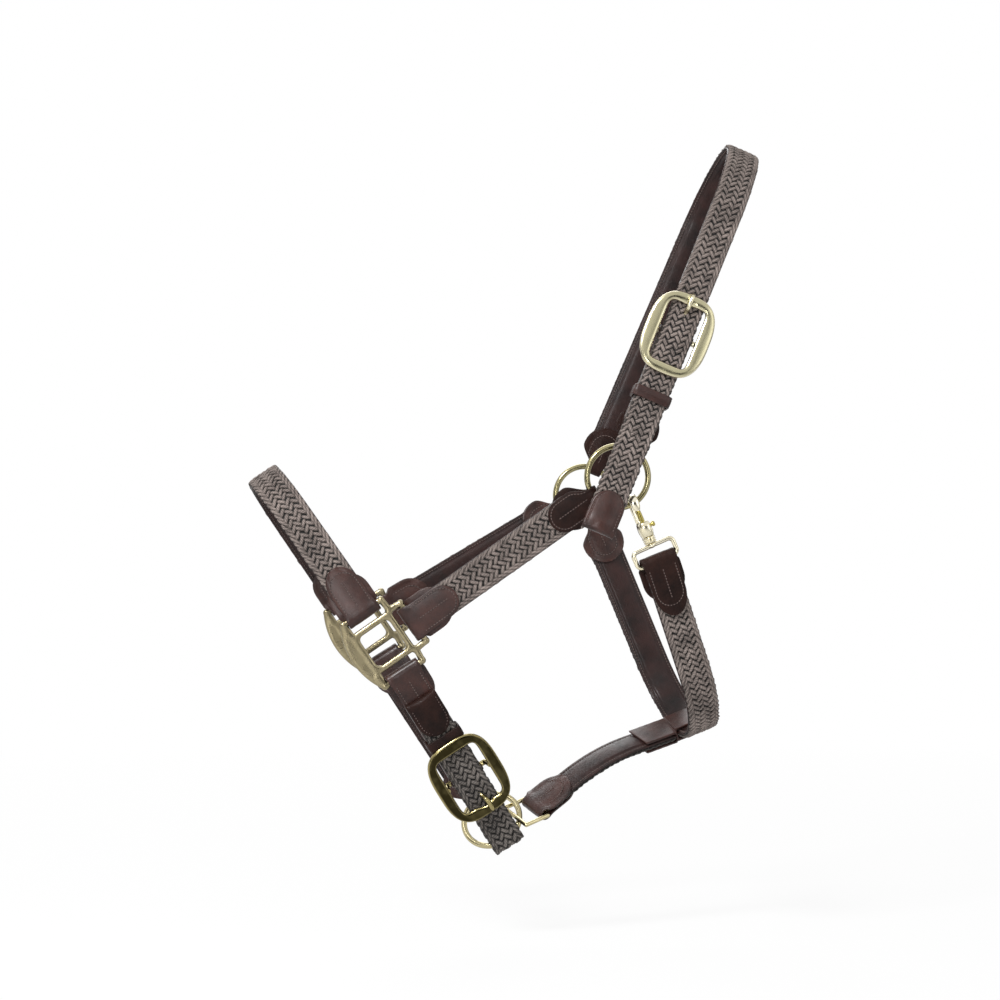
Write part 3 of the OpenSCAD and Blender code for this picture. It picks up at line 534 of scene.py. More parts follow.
CORD = cord_finish("plaited_cord", (60, 51, 48), (163, 149, 142))
# painted shade: a darker copy of the cord for the chin, far chin and jowl straps, which lie in shade
SHADED_CHIN_CORD = cord_finish("chin_cord", (16, 13, 12), (136, 128, 122))
# painted shadow: a near-black cord for the core, which shows as the shadow between the floats
SHADOW_CORE = cord_finish("cord_core", (14, 11, 10), (26, 21, 20))
LEATHER = leather_finish("waxed_leather", (30, 15, 12), (66, 38, 32), 0.27, 0.38)
# painted shade: a darker, duller copy of the leather for the ends and the keeper that lie in shade
SHADED_LEATHER = leather_finish("shaded_waxed_leather", (20, 10, 8), (46, 27, 22), 0.3, 0.04, 0.1)
LINING = leather_finish("padded_lining", (16, 7, 6), (48, 27, 24), 0.2, 0.18)
THREAD = cord_finish("dark_thread", (44, 32, 29), (106, 88, 83))
PALE_THREAD = cord_finish("pale_thread", (54, 41, 38), (112, 92, 87))
BRASS = metal_finish("polished_brass", (200, 190, 152), (160, 148, 110), 0.16, 0.26)
# its rim's face is painted darker as a reflection, its edges bright as a painted highlight
RIM_BRASS = metal_finish("rim_brass", (224, 217, 190), (200, 191, 158), 0.18, 0.28, face=(180, 174, 142))
SATIN_BRASS = metal_finish("satin_brass", (152, 142, 114), (134, 124, 97), 0.24, 0.32)
# painted reflection: a darker copy of the brass for the near and far rings, for the dark surroundings they
# reflect
RING_BRASS_PAINTED_REFLECTION = metal_finish("ring_brass_painted_dark_reflection", (172, 164, 126), (128, 119, 82), 0.16, 0.24)
SNAP_BRASS = metal_finish("pale_snap_brass", (240, 234, 214), (214, 204, 170), 0.14, 0.26)
BOLT_BRASS = metal_finish("bolt_brass", (186, 172, 100), (132, 118, 54), 0.14, 0.24)
# dirt in random patches, and a darker base and rim face as a painted dark reflection
DIRTY_BRASS_PAINTED_REFLECTION = metal_finish("aged_brass", (176, 164, 118), (140, 128, 84), 0.14, 0.24, 0.3, (48, 43, 24))
print("finishes:", [m.name for m in bpy.data.materials])

# %% [markdown]
# ## The plait
# The straps are flat plaits of six ends. On the face each end shows as a short float that
# slants one way, the next column slants the other, and the pairs read as chevrons. The outer
# ends turn over the edge of the strap and go back under. One float of each column is shaped
# here as a flattened tube, then repeated along the strap in steps of one pitch over a darker
# core, which shows as the shadow between the floats.

# %% The plait
ENDS = 6
PITCH = 4.72
COLUMN_W = 3.9
FLOAT_SIDES = 8
FLOAT_REACH, EDGE_REACH = 2.5, 5.2  # half a float's length, in the face and at the edge
FLOAT_HALF_W, EDGE_HALF_W, FLOAT_HALF_T = 1.38, 1.22, 0.92
CORE_HALF_W = 10.9
CORE_TOP = 1.85
NO_RINGS, START_ON_RING, END_ON_RING = (False, False), (True, False), (False, True)
RANDOM = np.random.default_rng(11)


def float_shape(column):
    """One float of a column in along, out and across: its points, and their UVs."""
    centre = (column - (ENDS - 1) / 2) * COLUMN_W
    outer = column in (0, ENDS - 1)
    side = 1 if centre > 0 else -1
    slant = 1 if column % 2 else -1
    u = np.array([-1.0, -0.82, -0.45, 0.0, 0.45, 0.82, 1.0])
    if outer:
        edge = np.sin(np.clip(u / 0.6, -1, 1) * np.pi / 2)
        high = 2.15 - 1.3 * smoothstep(0.1, 1, u) - 1.2 * smoothstep(-0.4, -1, u)
        path = np.stack([slant * side * EDGE_REACH * u, high, side * (abs(centre) - 0.25 + 1.3 * edge)], 1)
    else:
        path = np.stack([slant * FLOAT_REACH * u, 2.3 - 1.5 * np.abs(u) ** 2.6, centre + 2.55 * u], 1)
    wide = (EDGE_HALF_W if outer else FLOAT_HALF_W) * np.array([0.5, 0.82, 0.98, 1.0, 0.98, 0.82, 0.5])
    thick = FLOAT_HALF_T * np.array([0.7, 0.9, 1.0, 1.0, 1.0, 0.9, 0.7])
    tan = tangents(path)
    over = np.cross(unit(np.cross(tan, [0, 1, 0])), tan)
    flat = np.cross(tan, over)
    turn = circle(FLOAT_SIDES)
    ring = (path[:, None] + (wide[:, None] * np.cos(turn))[..., None] * flat[:, None]
            + (thick[:, None] * np.sin(turn))[..., None] * over[:, None])
    # U runs along a float and sets where the cord's painted end shade falls; an edge float stops at 0.76, so
    # only its first end is shaded
    tuck = 0.38 if outer else 0.5
    uv = np.stack(np.broadcast_arrays((u[:, None] + 1) * tuck, turn[None] / (2 * np.pi)), -1)
    return ring, uv.reshape(-1, 2)


def gathered(run, s, rings):
    """How far a strap is drawn in towards its middle near the ends that hang on rings."""
    share = np.ones_like(s)
    for on_ring, a in zip(rings, (s, run.length - s)):
        if on_ring:
            half = 5.0 + 7.0 * smoothstep(0, 15, a + BAR_GAP) - 0.9 * smoothstep(14, 6, a)
            share = np.minimum(share, half / 12)
    return share


def laid(shape, places, turned):
    """Copies of a float at its places along the strap, each a little uneven as hand work is."""
    uneven = RANDOM.normal(0, 1, (4, len(places), 1))
    centre = shape.mean(0)
    local = centre + (np.repeat(shape[None], len(places), 0) - centre) * (1 + 0.05 * uneven[0])[..., None]
    local[..., 1] = np.minimum(local[..., 1] + 0.07 * uneven[1], PLAIT_T + 0.1)
    local[..., 2] += 0.09 * uneven[2]
    local[..., 0] += places[:, None] + 0.16 * uneven[3]
    if turned:
        local[..., 1] = PLAIT_T - local[..., 1]
    return local


def plait_core(name, node, run, back, rings):
    s = np.linspace(0.4, run.length - 0.4, max(int(run.length / 2), 4))
    low = np.where((s > back[0]) & (s < back[1]), 0.95, 0.12)[:, None]
    y = low + np.array([0, 1, 1, 0]) * (CORE_TOP - low)
    z = np.array([-1, -1, 1, 1]) * CORE_HALF_W * gathered(run, s, rings)[:, None]
    add_piece(name, loft(run.at(s[:, None], y, z)), SHADOW_CORE, body=BODY[node])


def plait(name, node, run, cord=CORD, bare=(14, 14), back=(0, 0), rings=NO_RINGS, pitch=PITCH, hidden=0):
    """A plait on the run. bare: lengths at the ends where only the edges show.
    back: the stretch that shows from below too. rings: which ends hang on a ring.
    hidden: the length at the start where not even the edges show."""
    points, faces, uvs, start = [], [], [], 0
    for column in range(ENDS):
        ring, uv = float_shape(column)
        shape, quads = loft(ring * [pitch / PITCH, 1, 1])
        reach = (bare[0], run.length - bare[1]) if 0 < column < ENDS - 1 else (hidden, run.length)
        rows = np.arange(2.7 + (pitch / 2 if column % 2 else 0), run.length - 2.7, pitch)
        rows = rows[(rows >= reach[0] + 2) & (rows <= reach[1] - 2)]
        below = rows[(rows > back[0]) & (rows < back[1])]
        for here, turned in ((rows, False), (below, True)):
            if not len(here):
                continue
            local = laid(shape, here, turned)
            across = local[..., 2] * gathered(run, local[..., 0], rings)
            points.append(run.at(local[..., 0], local[..., 1], across).reshape(-1, 3))
            faces += many(len(shape), quads, len(here), start)
            uvs.append(np.tile(uv, (len(here), 1)))
            start += len(points[-1])
    shape = np.concatenate(points), faces
    add_piece(name, shape, cord, node, uv=np.concatenate(uvs), sharp=180)
    plait_core(name + "_core", node, run, back, rings)
    print(name, "has", start // len(uv), "floats on", round(run.length), "mm")


# %% [markdown]
# ## Padded linings
# Each lining is soft leather over a felt strip. Its edges are stitched down flat to the strap
# and its middle stands up full and glossy, so the section has two flat margins and one crown.
# A stitch is a thread that dives into an awl hole at each end; each hole is a small cone painted dark as
# shade.

# %% Linings and stitches
MARGIN_T = 1.45
SEAM_Z = 9.9  # a lining's seams, off the strap's middle
STITCH_PITCH, STITCH_LENGTH = 2.2, 1.35
STITCH_R, STITCH_SIDES = 0.43, 5
DIVE, DIVE_R = 0.15, 0.26  # how deep a thread's ends dive, and how thin they are there
HOLE_R, HOLE_DEPTH = 0.42, 0.3


def stitch_row(path, normal):
    """Stitches along a path, raised along the normals: threads and holes, each with its shade."""
    s = lengths(path)
    mid = np.arange(STITCH_PITCH / 2, s[-1] - STITCH_PITCH / 3, STITCH_PITCH)
    if not len(mid):
        return []
    n = unit(read_off(mid, s, normal))
    a, b, c = (read_off(mid + d * STITCH_LENGTH, s, path) for d in (-0.5, 0, 0.5))
    way = unit(c - a)
    side = unit(np.cross(way, n))
    turn = circle(STITCH_SIDES)[None, :, None]

    def round_of(centre, r, up):
        return centre[:, None] + r * (np.cos(turn) * side[:, None] + np.sin(turn) * up[:, None])

    thread = np.stack([round_of(a - DIVE * n, DIVE_R, n), round_of(b + 0.12 * n, STITCH_R, n),
                       round_of(c - DIVE * n, DIVE_R, n)], 1)
    rows = [(thread.reshape(-1, 3), many(3 * STITCH_SIDES, loft(thread[0])[1], len(mid)), 0.5)]
    top, tip = STITCH_SIDES, STITCH_SIDES + 1
    wedge = [[k, (k + 1) % top, top] for k in range(top)] + [[(k + 1) % top, k, tip] for k in range(top)]
    # each awl hole is a cone with U at 0, so it takes the thread's painted end shade and shows dark as
    # painted shade
    for hole in (a - 0.1 * way, c + 0.1 * way):
        ends = [(hole + 0.07 * n)[:, None], (hole - HOLE_DEPTH * n)[:, None]]
        cone = np.concatenate([round_of(hole, HOLE_R, way)] + ends, 1)
        rows.append((cone.reshape(-1, 3), many(STITCH_SIDES + 2, wedge, len(mid)), 0.0))
    return rows


def sew(name, rows, body, thread=THREAD):
    """One piece of thread from stitch rows. The holes take the dark end of the thread's colour, as painted
    shade.
    """
    shape = join([row[:2] for row in rows])
    uv = np.concatenate([np.tile([shade, 0.25], (len(points), 1)) for points, _, shade in rows])
    return add_piece(name, shape, thread, body=body, uv=uv)


def edge_seams(run, s, level, up, share=1.0):
    """Stitches along both edges of a strap's face at this level. up: the way the face looks."""
    rows = []
    for side in (-1, 1):
        z = side * SEAM_Z * share
        line = run.at(s, level, z)
        rows += stitch_row(line, run.at(s, level + up, z) - line)
    return rows


def thread_for(hide):
    return PALE_THREAD if hide is SHADED_LEATHER else THREAD


def lining_low(z):
    """How far the lining's face lies below the joint, across the strap."""
    z = np.abs(z)
    crown = 0.6 * np.clip(1 - (z / 7.6) ** 2, 0, 1) ** 0.7
    return MARGIN_T + (2.2 - MARGIN_T) * smoothstep(8.4, 7.1, z) + crown


def lining(name, start, rings):
    """The padding under one strap, from its own node. start is a point near the end it starts at."""
    node = name + "_lining"
    run = run_of(node, LINING_T, top=True).from_near(start)
    z = np.array([0, 3, 5.5, 6.7, 7.3, 7.9, 8.4, 9.6, 11.3, 11.85, 12])
    low = -lining_low(z)
    low[-2:] = -1.15, -0.35
    z, y = section(np.stack([z, low], 1), [(11.8, -0.05)])
    s = np.linspace(0, run.length, max(int(run.length / 1.6), 6))
    share = gathered(run, s, rings)
    skin = loft(run.at(s[:, None], y, z * share[:, None]))
    add_piece(name + "_padding", skin, LINING, node, sharp=60)
    sew(name + "_padding_stitches", edge_seams(run, s, -MARGIN_T - 0.02, -1, share), BODY[node])
    print(name, "lining is", round(run.length), "mm long")
    return run


# %% [markdown]
# ## Folded leather ends
# Every strap ends in a chape: a strip of leather folded round a bar or a ring, with one tab
# sewn on the outside of the strap and a wider one inside. The strip is drawn flat as a half
# width that changes along it, then bent along the tab, round the fold and back. The leather
# swells a little between its stitch lines and settles down over the lining's flat margins.

# %% Chapes
FOLD_R = 3.8
FOLD_Y = 0.2
SKIN_T = 0.8  # half of the leather's thickness


class Tab:
    """One tab of a chape. near and far: its widths at the bar and further on.
    flare: the length over which it widens. tip: the length of its rounded end."""

    def __init__(self, near, far, flare, length, tip):
        self.near, self.far, self.flare, self.length = near, far, flare, length
        self.tip = min(tip, length - flare - 0.5)
        self.straight = length - self.tip

    def half(self, a):
        """Half its width at a distance a from the bar."""
        body = (self.near + (self.far - self.near) * smoothstep(0, self.flare, a)) / 2
        round_end = np.sqrt(np.clip(1 - (np.clip(a - self.straight, 0, self.tip) / self.tip) ** 2, 0, 1))
        return np.maximum(body * round_end, 0.25)

    def places(self):
        """Distances from the bar at which its outline needs a point."""
        tip = self.straight + self.tip * np.sin(np.linspace(0, np.pi / 2 * 0.985, 9))
        return np.concatenate([np.linspace(0, self.straight, 14)[:-1], tip])


def drape(z):
    """How far the leather settles towards the strap beyond the stitch lines."""
    return smoothstep(7.6, 10.2, np.abs(z))


def tab_stitches(run, s_of, level, tab, outer):
    """The seam round a tab and the line down its middle."""
    inset = 2.3
    half = min(tab.far, STRAP_W) / 2 - inset
    if tab.tip > half:
        reach = min(tab.length, tab.straight + half + 0.4)
    else:
        reach = tab.length - inset + 0.2
    turn = np.linspace(0, np.pi / 2, 12)
    bow = max(reach - tab.straight, 2.0)
    tip_line = np.stack([tab.straight + bow * np.sin(turn), half * np.cos(turn)], 1)
    start = np.linspace(3.4, tab.straight, 12)[:-1]
    edge = np.minimum(tab.half(start) - inset * smoothstep(0, 8, start), half)
    side = np.concatenate([np.stack([start, edge], 1), tip_line])
    lines = [np.concatenate([side, side[::-1] * [1, -1]])]
    if tab.straight > 12:
        lines.append(np.stack([np.linspace(5, max(reach - 5, 7), 9), np.zeros(9)], 1))
    up = 1 if outer else -1
    rows = []
    for line in lines:
        y = level - (0.45 if outer else -1.15) * drape(line[:, 1])
        here = run.at(s_of(line[:, 0]), y + 0.02 * up, line[:, 1])
        there = run.at(s_of(line[:, 0]), y + up, line[:, 1])
        rows += stitch_row(here, there - here)
    return rows


def chape(node, run, near=25.6, out_len=36.0, out_tip=12.0, in_len=30.0, in_w=31.0, flare=4.0, slack=0.4,
          hide=LEATHER):
    """A chape on the bar that lies BAR_GAP before the start of the run.
    near: its width at the fold. out_, in_: sizes of its outer and inner tab.
    flare: the length over which it widens. slack: how far it is shifted along the strap."""
    def s_of(a):
        return np.asarray(a) - BAR_GAP + slack

    outside = Tab(near, STRAP_W, flare, out_len, out_tip)
    inside = Tab(near, in_w, flare, in_len, in_w / 2)
    out_a, in_a = outside.places()[::-1], inside.places()
    turn = np.radians(np.linspace(90, -90, 13))[1:-1]
    fold_r = FOLD_R + (1.1 if near > STRAP_W else 0)
    back, up = -np.cos(turn), np.sin(turn)
    along, level, d_along, d_level, half, settle = stations(
        (out_a, FOLD_Y + FOLD_R, 0, 1, outside.half(out_a), -0.45 * smoothstep(1, 7, out_a)),
        (fold_r * back, FOLD_Y + FOLD_R * up, back, up, near / 2, 0),
        (in_a, FOLD_Y - FOLD_R, 0, -1, inside.half(in_a), 1.15 * smoothstep(1, 7, in_a)))
    z, d = section([(0.1, 0.84), (0.45, 0.84), (0.7, 0.62), (0.78, 0.74), (0.93, 0.78), (1, 0.5)],
                   [(0.3, -0.8), (0.94, -0.8), (1, -0.5)])
    z = half * z
    y = level + d * d_level + settle * drape(z)
    add_piece(node + "_leather", loft(run.at(s_of(along + d * d_along), y, z)), hide, node, sharp=80)
    rows = tab_stitches(run, s_of, FOLD_Y + FOLD_R + SKIN_T, outside, True)
    rows += tab_stitches(run, s_of, FOLD_Y - FOLD_R - SKIN_T, inside, False)
    sew(node + "_stitches", rows, BODY[node], thread_for(hide))


RING_END = dict(near=10.0, flare=15.0, slack=-0.3, in_len=32.0)

# %% [markdown]
# ## Dressing the straps
# Now each strap gets its plait, its lining and its two ends. The buckled tails of the
# headpiece and the chin strap have no lining, so their plait shows from both sides.

# %% Noseband and cheekpieces
def dress(name, start, cord=CORD, rings=NO_RINGS):
    """A strap that is plaited and lined all the way. start is a point near the end it starts at."""
    run = RUNS[name].from_near(start)
    plait(name + "_cord", name + "_plait", run, cord, rings=rings)
    lining(name, start, rings)
    return run


nose = dress("noseband", NEAR_FITTING)
chape("noseband_near_chape", nose, out_tip=15.0)
chape("noseband_far_chape", nose.flipped(), out_tip=15.0)

for side, fitting, slack, hide in (("near", NEAR_FITTING, 0.4, SHADED_LEATHER),
                                   ("far", FAR_FITTING, 0.0, LEATHER)):
    cheek = dress(side + "_cheek", fitting, rings=END_ON_RING)
    chape(side + "_cheek_lower_chape", cheek, slack=slack)
    chape(side + "_cheek_upper_chape", cheek.flipped(), hide=hide, **RING_END)

# %% [markdown]
# ## Headpiece
# The headpiece is in two lengths. The long one comes from the far ring over the poll and ends
# in the buckled tail. The short one hangs the buckle on the near ring.

# %% Headpiece
poll = RUNS["headpiece"].from_near(FAR_RING)
buckled_tail = (lining("headpiece", FAR_RING, START_ON_RING).length, poll.length)
plait("headpiece_cord", "headpiece_plait", poll, back=buckled_tail, rings=START_ON_RING)
chape("headpiece_far_chape", poll, hide=SHADED_LEATHER, **RING_END)
near_poll = RUNS["near_poll"]
plait("poll_buckle_cord", "poll_buckle_strap", near_poll, bare=(10, 0), rings=START_ON_RING)
lining("poll_buckle", NEAR_RING, START_ON_RING)
chape("poll_ring_chape", near_poll, out_len=28.0, hide=SHADED_LEATHER, **RING_END)

# %% [markdown]
# ## Throatlash, far chin strap and jowl strap
# These three are lined all the way, like the noseband. Only their ends differ: a long tab on
# the snap's loop, a short one on a fitting, and a narrow neck on a ring.

# %% Throatlash, far chin strap and jowl strap
throat = dress("throat", NEAR_RING, rings=END_ON_RING)
chape("throat_near_chape", throat, out_len=40.0, out_tip=18.0, slack=0.2, hide=SHADED_LEATHER)
chape("throat_far_chape", throat.flipped(), **RING_END)

far_chin = dress("far_chin", FAR_FITTING, SHADED_CHIN_CORD, END_ON_RING)
chape("far_chin_fitting_chape", far_chin, out_len=28.0, out_tip=6.0)
chape("far_chin_ring_chape", far_chin.flipped(), **RING_END)

jowl = dress("jowl", middle("jowl_link"), SHADED_CHIN_CORD)
chape("jowl_link_chape", jowl, out_len=30.0, in_len=30.0)

# %% [markdown]
# ## The chin strap
# The near chin strap is plain leather as far as its buckle. Its plaited tail comes through the
# buckle, turns round the chin ring's wire and goes back up for a short way behind itself.

# %% Chin strap
chin = RUNS["chin"]
CHIN_TAIL = 14.5  # where the plaited tail starts, along the strap
CHIN_TURN = 142.5  # where it turns round the ring
CHIN_BACK = 28  # how far it then goes back
TAIL_LEVEL = 4.8  # of a buckled tail, off the strap that it lies on
CHIN_PITCH = 5.4
TURN_R = 3.0
TURN_Y = 1.8


def chin_tail_run():
    """The inner face of the plaited tail: straight, half a turn round the wire, and back."""
    s = np.arange(CHIN_TAIL, CHIN_TURN, 1.0)
    a = np.radians(np.arange(90, -91, -12))
    back = np.arange(CHIN_TURN - 1, CHIN_TURN - CHIN_BACK, -1.0)
    along, level, out_s, out_y = stations(
        (s, TAIL_LEVEL, 0, 1),
        (CHIN_TURN + TURN_R * np.cos(a), TURN_Y + TURN_R * np.sin(a), np.cos(a), np.sin(a)),
        (back, TURN_Y - TURN_R, 0, -1))[..., 0]
    here = chin.at(along, level, 0)
    there = chin.at(along + out_s, level + out_y, 0)
    return Run(here, there - here, chin.w, smooth=1)


def leather_strap(name, node, run):
    """A strap of plain leather, sewn along both edges, with a padded underside."""
    z = np.array([0, 4, 6.7, 7.6, 8.6, 9.9, 11.4, 11.9, 12])
    low = -lining_low(z)
    low[-1] = -0.6
    z, y = section(np.stack([z, low], 1),
                   [(0, 3.15), (8.4, 3.05), (9.9, 2.75), (11.2, 2.95), (11.85, 2.5), (12, 1.4)])
    s = np.linspace(0, run.length, 50)
    add_piece(name, loft(run.at(s[:, None], y, z)), LEATHER, node, sharp=60)
    rows = edge_seams(run, s, 2.8, 1) + edge_seams(run, s, -MARGIN_T - 0.02, -1)
    sew(name + "_stitches", rows, BODY[node])


tail_run = chin_tail_run()
plait("chin_cord", "chin_plait", tail_run, SHADED_CHIN_CORD, bare=(14, 0), back=(0, tail_run.length),
      pitch=CHIN_PITCH, hidden=8)
chape("chin_fitting_chape", chin, out_len=28.0, out_tip=6.0)
leather_strap("chin_strap_leather", "chin_buckle_strap", chin)

# %% [markdown]
# ## Cast brass cheek fittings
# Each cheek fitting is one casting: a square of round bars, short horns that carry the strap
# bars, balls on the horn tips, and a crescent plate. The CAD solid has the bars and plate with
# plain corners. A casting has a fillet at every meeting, which comes from the wax or pattern,
# so a copy of the solid is turned into an even skin and its corners are relaxed.

# %% Castings
def cast(name, node, finish, voxel, relax, fill=0.0, axes=np.eye(3)):
    """A copy of a node's solid with softened corners. voxel: how fine its even skin is.
    relax: how often the skin is smoothed. fill: how much it then swells again.
    axes: the directions that the even skin's grid follows, so that straight bars stay straight."""
    turned = Matrix(axes.tolist()).to_4x4()
    pattern = bpy.data.objects.new("pattern", NODES[node].data.copy())
    pattern.data.transform(turned)
    bpy.context.scene.collection.objects.link(pattern)
    skin = pattern.modifiers.new("skin", "REMESH")
    skin.mode, skin.voxel_size = "VOXEL", voxel * MM
    swell = pattern.modifiers.new("swell", "DISPLACE")
    swell.strength, swell.mid_level = fill * MM, 0.0
    ease = pattern.modifiers.new("ease", "SMOOTH")
    ease.factor, ease.iterations = 0.5, relax
    graph = bpy.context.evaluated_depsgraph_get()
    mesh = bpy.data.meshes.new_from_object(pattern.evaluated_get(graph))
    bpy.data.objects.remove(pattern)
    mesh.transform(turned.inverted())
    mesh.name = name
    mesh.materials.clear()
    place_piece(name, mesh, finish, node, 75)
    print(name, "has", len(mesh.polygons), "faces")


for side in ("near", "far"):
    one, two = RUNS[side + "_cheek"].w, RUNS["noseband"].w
    two = unit(two - np.dot(two, one) * one)
    cast(side + "_fitting_casting", side + "_cheek_fitting", SATIN_BRASS, 0.4, 22, fill=0.55,
         axes=np.array([one, two, np.cross(one, two)]))

# %% [markdown]
# ## Rings
# A ring is bent from round wire and brazed. Its centre and plane are read from its solid by
# fitting a flat disc to the solid's points.

# %% Rings
def ring(name, node, finish):
    """A ring of round wire, whose centre, plane, radius and wire come from its solid."""
    points = merged(node)[0]
    centre = points.mean(0)
    axes = np.linalg.svd(points - centre)[2]
    flat = (points - centre) @ axes[:2].T
    centre = centre + (flat.max(0) + flat.min(0)) / 2 @ axes[:2]
    wire = np.abs((points - centre) @ axes[2]).max()
    r = np.linalg.norm((points - centre) @ axes[:2].T, axis=1).max() - wire
    turn = circle(120)[:, None]
    path = centre + r * (np.cos(turn) * axes[0] + np.sin(turn) * axes[1])
    print(name, "radius", round(r, 2), "wire", round(wire, 2))
    add_piece(name, tube(path, wire, 18, loop=True, up=axes[2]), finish, node)


for name, finish in (("near_ring", RING_BRASS_PAINTED_REFLECTION), ("far_ring", RING_BRASS_PAINTED_REFLECTION), ("chin_ring", BRASS)):
    ring(name + "_wire", name, finish)

# %% [markdown]
# ## Buckles
# The buckles are cast frames with a broad crowned rim. The rim has a small seat for the tongue
# in its end bar. The sides drop on two short posts to a straight centre bar, which the tongue
# and the folded leather hang on. The tongue is a bent wire with a flattened eye.

# %% Buckles
BUCKLE_LENGTH = 60.0
BUCKLE_WIDTH = 47.6
OPENING_LENGTH = 44.6
RIM_LOW, RIM_HIGH = 8.3, 11.7  # levels of the rim's underside and crown
RIM_POINTS = 240
BAR_R = 2.0
SEAT_DEPTH = 1.3


def soft_box(a, b, power, turn):
    """A rectangle of half sizes a and b with rounded corners; more power is squarer."""
    c, s = np.cos(turn), np.sin(turn)
    x = a * np.sign(c) * np.abs(c) ** (2 / power)
    return np.stack([x, b * np.sign(s) * np.abs(s) ** (2 / power)], -1)


def buckle_frame(name, node, run, at_s, finish, opening, power, wider, lean, notch):
    turn = circle(RIM_POINTS)
    outer = soft_box(BUCKLE_LENGTH / 2 + wider, BUCKLE_WIDTH / 2 + wider, power, turn)
    inner = soft_box(OPENING_LENGTH / 2, opening / 2, 9.0, turn)
    inner[:, 0] += notch * np.sqrt(np.clip(1 - (inner[:, 1] / 2.3) ** 2, 0, 1)) * (inner[:, 0] > 0)
    arch = np.linspace(0, np.pi, 13)
    across = np.concatenate([(1 + np.cos(arch)) / 2, [0.12, 0.88]])
    rise = np.concatenate([0.3 + 0.7 * np.sin(arch) ** 0.6, [0.0, 0.0]])
    plan = inner[:, None] + across[None, :, None] * (outer - inner)[:, None]
    slope = 1 - 0.22 * across[None] * np.abs(np.sin(turn))[:, None] ** 2
    seat = np.exp(-((plan[..., 1] - lean) / 2.0) ** 4) * (plan[..., 0] > 0) * (rise > 0.35)
    y = RIM_LOW + (RIM_HIGH - RIM_LOW) * rise * slope - SEAT_DEPTH * seat
    rim = loft(run.at(at_s + plan[..., 0], y, plan[..., 1]), loop=True)
    post = spline([(0, 9.6, 17.6), (0, 6.5, 17.3), (0, 2.6, 16.9), (0, 0.4, 15.4), (0, 0, 12.5)], 0.8)
    line = np.concatenate([post, (post * [1, 1, -1])[::-1]])
    bar = tube(run.at(at_s + line[:, 0], line[:, 1], line[:, 2]), BAR_R, 14, up=run.along(at_s))
    uv = np.concatenate([np.stack([np.tile(across, RIM_POINTS), np.tile(rise, RIM_POINTS)], 1),
                         np.zeros((len(bar[0]), 2))])
    add_piece(name, join([rim, bar]), finish, node, uv=uv)


def buckle_tongue(name, node, run, at_s, finish, lean):
    """A wire that curls round the centre bar and runs up to rest in the rim's seat."""
    rest = RIM_HIGH + 1.0
    arm = spline([(1.6, 2.4), (2.9, 4.3), (5.0, 5.5), (14.0, 5.6), (17.6, 7.4), (20.4, rest - 1.4),
                  (22.8, rest - 0.7), (25.2, rest - 0.5), (27.8, rest - 0.7), (29.6, rest - 1.9),
                  (30.2, rest - 3.2)], 0.8)
    thick = np.interp(arm[:, 0], [2, 5, 14, 18, 28, 30], [1.1, 0.9, 0.9, 1.6, 1.8, 1.4])
    off = lean * smoothstep(12, 22, arm[:, 0])
    turn = circle(36)
    eye_path = run.at(at_s + 2.9 * np.cos(turn), 2.9 * np.sin(turn), 0)
    wire = tube(run.at(at_s + arm[:, 0], arm[:, 1], off), thick, 14, up=run.w)
    eye = tube(eye_path, 0.85, 12, loop=True, flat=1.7, up=run.w)
    add_piece(name, join([wire, eye]), finish, node)


def buckle(name, nodes, run, finish, opening, power=2.8, wider=0.0, lean=0.0, notch=0.0):
    """A buckle whose centre bar lies beyond the end of the run, with the strap's tail over it.
    opening: its inner width. power: how square its outline is. wider: how far its rim spreads.
    lean: how far its tongue's tip lies off the middle.
    notch: how deep a half round is cut into its end bar."""
    at_s = run.length + BAR_GAP
    buckle_frame(name + "_frame", nodes + "_frame", run, at_s, finish, opening, power, wider, lean, notch)
    buckle_tongue(name + "_tongue_wire", nodes + "_tongue", run, at_s, finish, lean)
    print(name, "is", BUCKLE_LENGTH + 2 * wider, "by", BUCKLE_WIDTH + 2 * wider, "mm")


buckle("crown_buckle", "poll_buckle", near_poll, RIM_BRASS, 28.0)
buckle("chin_buckle", "chin_buckle", chin, DIRTY_BRASS_PAINTED_REFLECTION, 33.4, power=3.1, wider=1.2, lean=2.6, notch=2.4)
for node in ("poll_buckle_chape", "chin_buckle_chape"):
    cast(node + "_leather", node, LEATHER, 0.5, 6)

# %% [markdown]
# ## Bolt snap
# The snap is a small casting. Its hook goes round the ring and meets the spring bolt, which
# slides in the body and has a thumb piece on its side. A collar turned with grooves holds the
# stud of the loop, so that the loop can swivel. The snap's line comes from its swivel joint.

# %% Hook, body and collar
SNAP_LENGTH = 60.0
HOOK_R = 4.7


def snap_run():
    """A straight run from the swivel joint's place along its axis, with its face to the near side."""
    swivel = [j for j in frame["joints"] if j["name"] == "snap_swivel"][0]
    start = np.array(swivel["pos_m"]) / MM
    way = unit(swivel["axis"])
    out = unit(way[1] * way - [0, 1, 0])
    return Run(np.stack([start, start + SNAP_LENGTH * way]), np.stack([out, out]), np.cross(way, out))


def lathe(run, profile, y=0.0, sides=28):
    """A turned shape: profile holds places along the run and radii. y: its line's level."""
    turn = circle(sides)
    s, r = np.hsplit(np.array(profile), 2)
    return loft(run.at(s, y + r * np.cos(turn), r * np.sin(turn)))


def barrel(run, slices):
    """A rounded block through slices of place, middle height, half height and half width."""
    turn = circle(32)
    rings = []
    for s, y, half_y, half_z in slices:
        shape = soft_box(half_y, half_z, 3.0, turn)
        rings.append(run.at(s, y + shape[:, 0], shape[:, 1]))
    return loft(np.array(rings))


